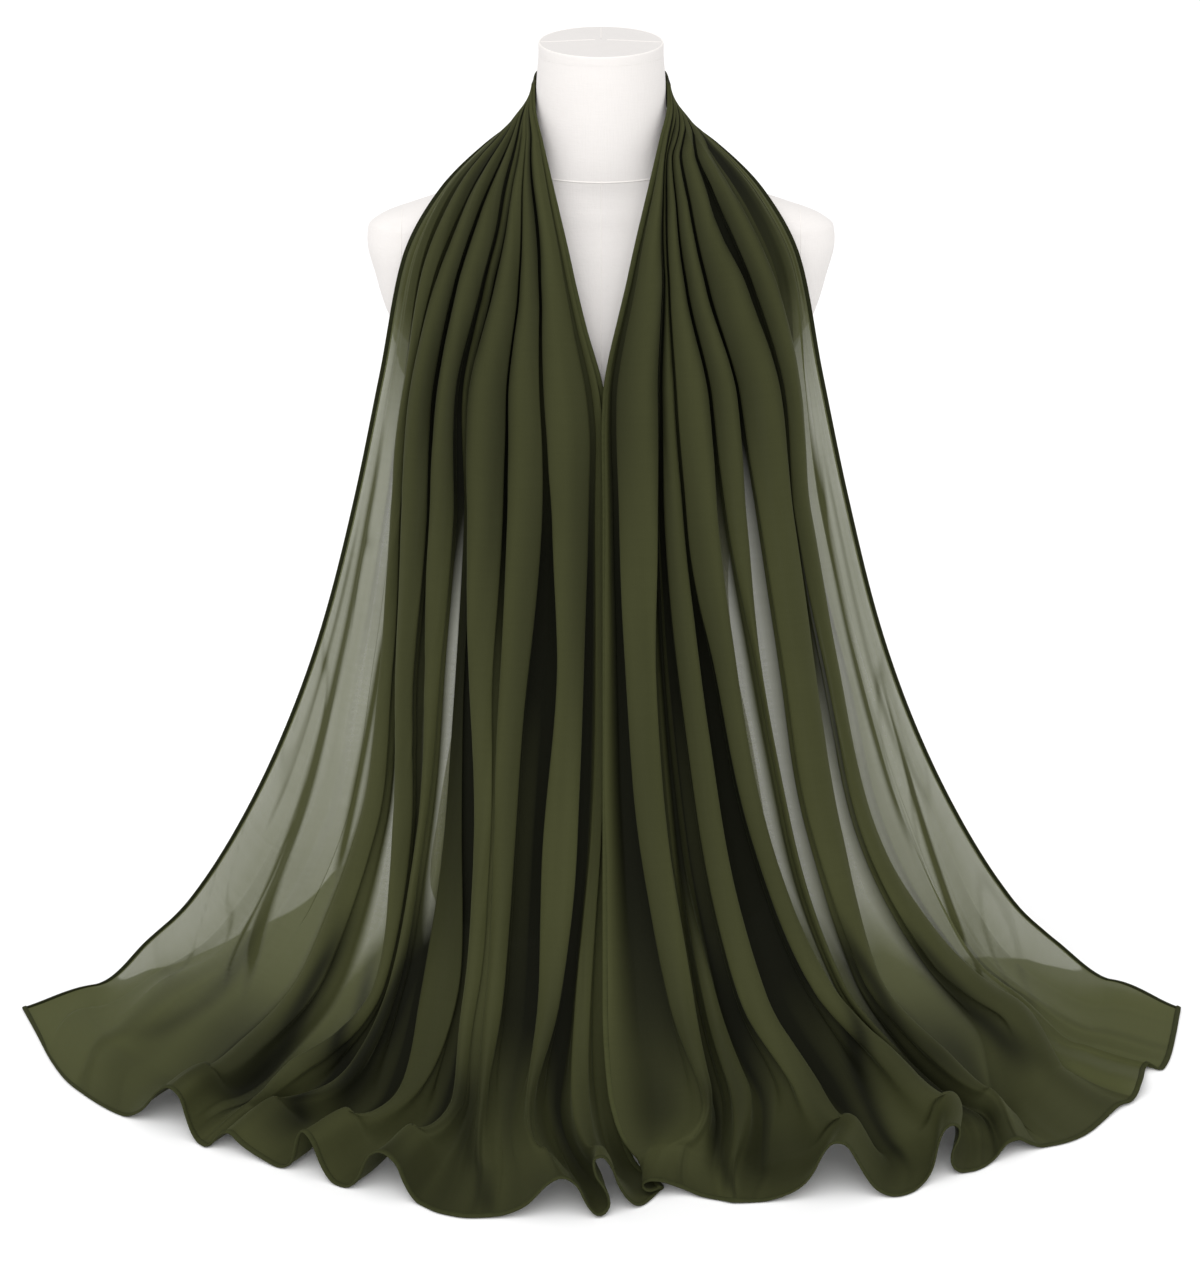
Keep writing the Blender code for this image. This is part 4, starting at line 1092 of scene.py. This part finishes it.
def cloth_uv(points):
    """Metres of cloth across and along, one pair for each point."""
    rows, columns = points.shape[:2]
    across = np.linspace(0.0, CLOTH_WIDTH, columns)[None, :].repeat(rows, 0)
    steps = np.linalg.norm(np.diff(points, axis=0), axis=-1).mean(1)
    down = np.concatenate([[0.0], np.cumsum(steps)])[:, None].repeat(columns, 1)
    return np.stack([across, down], axis=-1).reshape(-1, 2)


def band(points, normals, inward):
    """A flat rolled band along a line of points, whose outer side lies on the line."""
    turn = np.linspace(0.0, 2 * math.pi, HEM_SIDES, endpoint=False)
    wide = 0.5 * HEM_WIDTH * (1.0 - np.sign(np.cos(turn)) * np.abs(np.cos(turn)) ** HEM_ROUND)
    thick = 0.5 * HEM_THICKNESS * np.sign(np.sin(turn)) * np.abs(np.sin(turn)) ** HEM_ROUND
    return (points[:, None] + inward[:, None] * wide[None, :, None]
            + normals[:, None] * thick[None, :, None])


def stitches(points, normals):
    """Short raised stitches along a line, at one pitch, as elongated eight-sided grains."""
    run = along_line(points)
    stops = np.arange(STITCH_PITCH, run[-1] - STITCH_PITCH, STITCH_PITCH)
    forward = unit(read_line(run, points, stops + STITCH_STEP)
                   - read_line(run, points, stops - STITCH_STEP))
    up = unit(read_line(run, normals, stops))
    side = unit(np.cross(up, forward))
    middle = read_line(run, points, stops) + up * (HEM_THICKNESS * STITCH_LIFT)
    spots = np.stack([middle - forward * STITCH_LENGTH / 2, middle + forward * STITCH_LENGTH / 2,
                      middle + side * STITCH_RADIUS, middle - side * STITCH_RADIUS,
                      middle + up * STITCH_RADIUS, middle - up * STITCH_RADIUS], axis=1)
    grain = np.array([(0, 2, 4), (2, 1, 4), (1, 3, 4), (3, 0, 4),
                      (2, 0, 5), (1, 2, 5), (3, 1, 5), (0, 3, 5)])
    faces = (np.arange(len(stops)) * spots.shape[1])[:, None, None] + grain[None]
    return spots.reshape(-1, 3), faces.reshape(-1, 3)


def hem_uv(points):
    """Metres of cloth round and along a rolled hem, one pair for each point of its band."""
    shape = (len(points), HEM_SIDES)
    around = np.broadcast_to(np.linspace(0, HEM_GIRTH, HEM_SIDES)[None, :], shape)
    down = np.broadcast_to(along_line(points)[:, None], shape)
    return np.stack([around, down], axis=-1).reshape(-1, 2)


def add_hems(name, lines, hem, thread, tones):
    """One piece for the rolled bands along a sheet's edges, each with its tone, and one for their
    stitches."""
    bands = [lofted(band(*line)) for line in lines]
    lightness = np.concatenate([np.full(len(ring), tone) for tone, (ring, _) in zip(tones, bands)])
    hems = add_mesh(f"{name}_hem", *join_parts(bands), hem, "hem",
                    np.concatenate([hem_uv(points) for points, _, _ in lines]),
                    {"lightness": lightness})
    grains = [stitches(points + inward * HEM_WIDTH * STITCH_PLACE, normals)
              for points, normals, inward in lines]
    sewing = add_mesh(f"{name}_hem_stitches", *join_parts(grains), thread, "hem")
    return hems, sewing


def edge_data(points, normals, rim, axis):
    """An edge of a grid as a line at an even pitch: its points, its normals and the direction into
    the cloth."""
    line = np.take(points, rim, axis=axis)
    step = 1 if rim == 0 else -1
    inward = unit(np.take(points, rim + step * EDGE_DEPTH, axis=axis) - line)
    facing = np.take(normals, rim + step, axis=axis)
    facing = unit(facing - inward * (facing * inward).sum(-1, keepdims=True))
    run = along_line(line)
    stops = np.linspace(0.0, run[-1], int(run[-1] / HEM_PITCH))
    return (read_line(run, line, stops), unit(read_line(run, facing, stops)),
            unit(read_line(run, inward, stops)))


def turned_line(line, direction, share):
    """An edge whose inward side is turned towards a direction."""
    points, facing, inward = line
    turned = unit(inward * (1.0 - share) + direction * share)
    facing = unit(facing - turned * (facing * turned).sum(-1, keepdims=True))
    return points, facing, turned


def build_fall(side, chiffon, hem, thread):
    """One fall with its rolled hems; returns the points of its grid."""
    outward = 1.0 if side == "right" else -1.0
    points, tints = fall_surface(side)
    normals = surface_normals(points, outward)
    quads = grid_faces(*points.shape[:2])
    if side == "left":
        quads = quads[:, ::-1]
    sheet = add_mesh(f"scarf_{side}_fall", points, quads, chiffon, "chiffon",
                     cloth_uv(points), tints)
    inner = edge_data(points, normals, 0, 1)
    outer = turned_line(edge_data(points, normals, -1, 1), np.array([-outward, 0.0, 0.0]),
                        OUTER_TURN)
    run = along_line(outer[0])
    outer[0][:, 0] += (outward * OUTER_SHIFT * ease(run / OUTER_SHIFT_IN)
                       * ease((run[-1] - run) / OUTER_SHIFT_OUT))
    end = edge_data(points, normals, -1, 0)
    end[0][:, 2] = np.maximum(end[0][:, 2], 0.5 * HEM_THICKNESS + HEM_CLEAR)
    hems, sewing = add_hems(f"scarf_{side}", (inner, outer, end), hem, thread,
                            [HEM_TONES[edge] for edge in ("inner", "outer", "end")])
    nodes = [f"{side}_{name}" for name in ("yoke", "skirt", "train")]
    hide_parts(*nodes)
    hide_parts(*[f"{node}_{edge}_hem" for node in nodes for edge in ("inner", "outer")],
                f"{side}_end_hem")
    return points


# ---------------------------------------------------------------- the nape
NAPE_ROWS = 96
NAPE_RISE = 0.014
NAPE_DROP = 0.012
NAPE_FLATTEN = 0.985
NAPE_LAYERS = 17        # runs of cloth that lie on each other; the outermost one shows
NAPE_INNER = 0.0479     # radius of the innermost run
NAPE_PACK = 0.0030      # from the innermost run to the outermost one
NAPE_SWELL = 0.0032     # height of the folds of the outermost run
NAPE_FOLDS = 6
NAPE_TURN = 0.50        # radians in which the run-in from each fall gathers
TIE_PACK = 0.00003
INNER_SAMPLES = 12
OUTER_SAMPLES = 90
NAPE_LIT = 0.35         # how light the painted shade leaves the valleys of its folds
NAPE_ENDS = 0.35        # power with which the folds end at its two edges
NAPE_INSET = (0.03, 0.02, 2.4)      # of the inner runs at both edges: its mean, swing and turn
NAPE_SLANT = 0.8        # of a run's place among the others, how much it moves out on the way down
NAPE_WANDER = 0.5       # how far the folds of the outermost run wander, for 1 from fold to fold
NAPE_CREST = 0.7        # power that rounds them
NAPE_FINE = 0.0007      # height of its small wrinkles
NAPE_SEED = 31


def nape_profile(turn):
    """The gathered section at each place round the neck: radius and height of its runs, and for
    each of its points how far down the run it is and how many runs lie over it."""
    back = np.sin(turn)
    tie = dict(zip(SECTION_COLUMNS, SECTIONS[0]))
    high = tie["inner_z"] + NAPE_RISE * back
    low = tie["outer_z"] - NAPE_DROP * back
    radius = []
    height = []
    down = []
    over = []
    mean, swing, turning = NAPE_INSET
    for run in range(NAPE_LAYERS):
        outer = run == NAPE_LAYERS - 1
        share = np.linspace(0.0, 1.0, OUTER_SAMPLES if outer else INNER_SAMPLES)[None, :]
        fall = share if run % 2 == 0 else 1.0 - share
        inset = 0.0 if outer else mean + swing * math.sin(turning * run)
        level = high + (low - high) * (inset + (1.0 - 2.0 * inset) * fall)
        place = run + NAPE_SLANT * share - NAPE_SLANT / 2
        depth = NAPE_INNER + NAPE_PACK * place / (NAPE_LAYERS - 1)
        if outer:
            drift = NAPE_WANDER * value_noise(NAPE_SEED, turn * 1.6 + 0 * share,
                                              share * 4 + 0 * turn)
            wave = 0.5 - 0.5 * np.cos(2 * math.pi * (NAPE_FOLDS * share + drift))
            small = value_noise(NAPE_SEED + 1, share * 34 + 0.8 * turn, turn * 3.0 + 0 * share)
            ends = np.sin(math.pi * share) ** NAPE_ENDS
            depth = depth + ends * (NAPE_SWELL * wave ** NAPE_CREST + NAPE_FINE * small)
        radius.append(depth + 0.0 * turn)
        height.append(level + 0.0 * depth)
        down.append(fall[0])
        over.append(np.full(share.shape[1], NAPE_LAYERS - 1 - run))
    return (np.concatenate(radius, axis=1), np.concatenate(height, axis=1),
            np.concatenate(down), np.concatenate(over))


def build_nape(left, right, chiffon, hem, thread):
    """The gathered middle of the scarf, from the left tie round the back to the right tie."""
    turn = np.linspace(0.0, math.pi, NAPE_ROWS)[:, None]
    radius, height, down, over = nape_profile(turn)
    points = np.stack([-radius * np.cos(turn), NAPE_FLATTEN * radius * np.sin(turn), height],
                      axis=-1)
    for tie, sign, away in ((left, -1.0, turn), (right, 1.0, math.pi - turn)):
        place = np.linspace(0.0, 1.0, len(tie))
        line = read_line(place, tie, down)
        reach = line[:, 0] * sign - TIE_PACK * over
        wrapped = np.stack([-reach * np.cos(turn), NAPE_FLATTEN * reach * np.sin(turn),
                            line[:, 2] + 0.0 * turn], axis=-1)
        blend = ease(away / NAPE_TURN)[..., None]
        points = points * blend + wrapped * (1.0 - blend)
    normals = surface_normals(points, 1.0)
    quads = grid_faces(*radius.shape)
    # painted shade in the valleys between the folds of the outermost run
    lit = NAPE_LIT + (1.0 - NAPE_LIT) * ease((radius - NAPE_INNER - NAPE_PACK) / NAPE_SWELL)
    sheet = add_mesh("scarf_nape", points, quads, chiffon, "chiffon", cloth_uv(points),
                     {"dense": np.ones(radius.shape), "lit": lit,
                      "double": -np.ones(radius.shape)})
    lines = [edge_data(points, normals, 0, 1), edge_data(points, normals, -1, 1)]
    hems, sewing = add_hems("scarf_nape", lines, hem, thread, NAPE_HEM_TONES)
    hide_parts("nape_stretch")
    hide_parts("nape_upper_hem", "nape_lower_hem")


# ---------------------------------------------------------------- the dress form
def ring_points(height, half_width, front, back, squareness, count):
    """A level ring of points, whose front and back may be of different depth."""
    angle = np.linspace(0.0, 2 * math.pi, count, endpoint=False)
    cosine = np.cos(angle)
    sine = np.sin(angle)
    x = half_width * np.sign(cosine) * np.abs(cosine) ** (2 / squareness)
    depth = np.where(sine > 0, back, front)
    y = depth * np.sign(sine) * np.abs(sine) ** (2 / squareness)
    return np.stack([x, y, np.full(count, height)], axis=-1)


def ring_values(heights):
    """The form's half width, front, back and squareness at each height."""
    return list(between_rows(RINGS, RING_COLUMNS, heights).values())


def tube(path, radius, closed=False):
    """A thin round cord along a path, for piping and raised seams."""
    if closed:
        forward = unit(np.roll(path, -1, 0) - np.roll(path, 1, 0))
    else:
        forward = unit(np.gradient(path, axis=0))
    level = abs(forward[:, 2]).mean() < 0.8
    helper = np.array([0.0, 0.0, 1.0] if level else [1.0, 0.0, 0.0])
    first = unit(np.cross(forward, helper))
    second = np.cross(forward, first)
    turn = np.linspace(0, 2 * math.pi, CORD_SIDES, endpoint=False)
    ring = (path[:, None] + radius * (first[:, None] * np.cos(turn)[None, :, None]
                                      + second[:, None] * np.sin(turn)[None, :, None]))
    rows = len(path)
    if closed:
        ring = np.concatenate([ring, ring[:1]])
        rows += 1
    return ring.reshape(-1, 3), grid_faces(rows, CORD_SIDES, closed=True).tolist()


def form_depth(x, z, front):
    """The form's surface at one side-to-side place and height."""
    half, ahead, behind, square = ring_values(np.asarray(z, float))
    depth = ahead if front else behind
    share = np.clip(np.abs(x) / half, 0.0, 1.0)
    y = depth * (1.0 - share ** square) ** (1.0 / square)
    return -y if front else y


def cap_fall(y, above):
    """How far the plate on the neck is below level, towards the front."""
    return CAP_FALL * (0.5 - y / CAP_DEPTH) * np.clip(above / CAP_HEIGHT, 0.0, 1.0)


def cap_level(share):
    """Height of the plate's top before it is tipped, from its rim (0) to its middle (1)."""
    return CAP_FOOT + CAP_HEIGHT + CAP_DOME * ease(share * CAP_DOME_TURN)


def build_body(linen):
    heights = np.unique(np.concatenate([np.linspace(*stretch) for stretch in RING_STRETCHES]))
    rings = np.stack([ring_points(*ring, FORM_SIDES)
                      for ring in zip(heights, *ring_values(heights))])
    torso = add_mesh("form_body", *lofted(rings), linen, "linen")
    torso.data.set_sharp_from_angle(angle=SHARP_EDGE)
    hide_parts("form_torso", "left_arm_cap", "right_arm_cap")


def build_neck_cap(linen):
    """The plate on the neck, from its foot over the rounded rim to the middle of its dome."""
    profile = [(CAP_FOOT, 0.0)]
    for angle in np.linspace(0.0, math.pi / 2, CAP_ROUND_STEPS):
        profile.append((CAP_FOOT + CAP_HEIGHT - CAP_ROUND * (1 - math.sin(angle)),
                        CAP_ROUND * (1 - math.cos(angle))))
    for share in np.linspace(*CAP_DOME_STEPS):
        profile.append((cap_level(share), CAP_ROUND + (NECK["half_width"] - CAP_ROUND) * share))
    cap = np.stack([ring_points(height, NECK["half_width"] - inset, NECK["front"] - inset * CAP_OVAL,
                                NECK["back"] - inset * CAP_OVAL, OVAL, CAP_SIDES)
                    for height, inset in profile])
    cap[..., 2] -= cap_fall(cap[..., 1], cap[..., 2] - CAP_FOOT)
    # marks the top of the neck plate for its painted shade
    top = np.repeat([float(inset > CAP_TOP * CAP_ROUND) for _, inset in profile], CAP_SIDES)
    plate = add_mesh("form_neck_cap", *lofted(cap), linen, "linen", tints={"top": top})
    plate.data.set_sharp_from_angle(angle=SHARP_EDGE)
    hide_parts("neck_cap")


def body_seams():
    """The seams round the arm stumps, down the middle of the front and back, and round the neck."""
    parts = []
    z = np.linspace(*ARM_SEAM, SEAM_RINGS["arm"])
    for x in (-ARM_CUT, ARM_CUT):
        front, rear = (np.stack([np.full_like(z, x), form_depth(x, z, ahead), z], axis=-1)
                       for ahead in (True, False))
        parts.append(tube(np.concatenate([front, rear[::-1]]), SEAM_RADIUS["arm"], closed=True))
    z = np.linspace(MIDDLE_SEAM_FOOT, NECK_SEAM_HEIGHT, SEAM_RINGS["middle"])
    for front in (True, False):
        line = np.stack([0.0 * z, form_depth(0.0, z, front), z], axis=-1)
        parts.append(tube(line, SEAM_RADIUS["middle"]))
    angle = np.linspace(0.0, 2 * math.pi, SEAM_RINGS["neck"], endpoint=False)
    height = NECK_SEAM_HEIGHT + NECK_SEAM_TILT + NECK_SEAM_TILT * np.sin(angle)
    half, ahead, behind, _ = ring_values(height)
    depth = np.where(np.sin(angle) > 0, behind, ahead)
    ring = np.stack([half * np.cos(angle), depth * np.sin(angle), height], axis=-1)
    parts.append(tube(ring, SEAM_RADIUS["neck"], closed=True))
    return parts


def cap_seams():
    """The seam round the neck plate's rim and the three that meet in its middle."""
    rim = ring_points(CAP_FOOT + CAP_HEIGHT - RIM_DROP, NECK["half_width"] - RIM_INSET,
                      NECK["front"] - RIM_INSET, NECK["back"] - RIM_INSET, OVAL, SEAM_RINGS["neck"])
    rim[:, 2] -= cap_fall(rim[:, 1], CAP_HEIGHT)
    parts = [tube(rim, SEAM_RADIUS["neck"], closed=True)]
    stretch = np.linspace(*CAP_SEAM_STEPS)
    reach = NECK["half_width"] - CAP_ROUND
    for x, y in ((1, 0), (0, 1), (-1, 0)):
        span = stretch * (reach if x else reach - CAP_SEAM_SHORT)
        line = np.stack([x * span, y * span, cap_level(1 - stretch)], axis=-1)
        line[:, 2] -= cap_fall(line[:, 1], CAP_HEIGHT)
        parts.append(tube(line, SEAM_RADIUS["plate"]))
    return parts


def build_stand(paint):
    for node, profile in STAND_PROFILES.items():
        rings = np.stack([ring_points(height, *[radius + TURNED_CLEAR] * 3, OVAL, CAP_SIDES)
                          for height, radius in profile])
        piece = add_mesh(f"{node}_turned", *lofted(rings), paint, "stand")
        piece.data.set_sharp_from_angle(angle=STAND_SHARP_EDGE)
        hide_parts(node)


def build_form(linen, seam, paint):
    build_body(linen)
    build_neck_cap(linen)
    add_mesh("form_seams", *join_parts(body_seams() + cap_seams()), seam, "linen")
    build_stand(paint)


# ---------------------------------------------------------------- stage, light and camera
def build_stage():
    """A white floor and room, and the lights."""
    mesh = bpy.data.meshes.new("studio_floor")
    corners = [(-FLOOR_HALF, -FLOOR_HALF, 0), (FLOOR_HALF, -FLOOR_HALF, 0),
               (FLOOR_HALF, FLOOR_HALF, 0), (-FLOOR_HALF, FLOOR_HALF, 0)]
    mesh.from_pydata(corners, [], [(0, 1, 2, 3)])
    mesh.materials.append(floor_material())
    floor = bpy.data.objects.new("studio_floor", mesh)
    floor.location.z = FLOOR_LEVEL
    bpy.context.scene.collection.objects.link(floor)

    world = bpy.data.worlds.new("studio")
    bpy.context.scene.world = world
    world.use_nodes = True
    background = world.node_tree.nodes["Background"]
    background.inputs["Color"].default_value = (1.0, 1.0, 1.0, 1.0)
    background.inputs["Strength"].default_value = WORLD_STRENGTH

    for name, tilt, turn, spread, strength in LIGHTS:
        light = bpy.data.lights.new(name, "SUN")
        light.energy = strength
        light.angle = math.radians(spread)
        lamp = bpy.data.objects.new(name, light)
        lamp.rotation_euler = (math.radians(tilt), 0.0, math.radians(turn))
        bpy.context.scene.collection.objects.link(lamp)


def build_camera():
    """The camera of the photo: its picture's height fills the film."""
    camera = bpy.data.cameras.new("camera")
    camera.sensor_fit = "VERTICAL"
    camera.sensor_height = FILM_HEIGHT
    camera.sensor_width = FILM_HEIGHT
    camera.lens = FILM_HEIGHT * FOCAL_PIXELS / PHOTO_HEIGHT
    camera.shift_x = (PHOTO_WIDTH / 2 - CENTRE_PIXEL) / PHOTO_HEIGHT
    camera.clip_start = 0.05
    camera.clip_end = 100.0
    holder = bpy.data.objects.new("camera", camera)
    holder.location = CAMERA_PLACE
    holder.rotation_euler = (math.radians(90.0 - CAMERA_PITCH), 0.0, 0.0)
    bpy.context.scene.collection.objects.link(holder)
    bpy.context.scene.camera = holder


def main():
    chiffon = chiffon_material()
    hem = hem_material()
    thread = stitch_material()
    build_form(linen_material(), seam_material(), paint_material())
    left = build_fall("left", chiffon, hem, thread)
    right = build_fall("right", chiffon, hem, thread)
    build_nape(left[0], right[0], chiffon, hem, thread)
    build_stage()
    build_camera()
    bpy.context.scene.view_settings.view_transform = "Standard"


main()
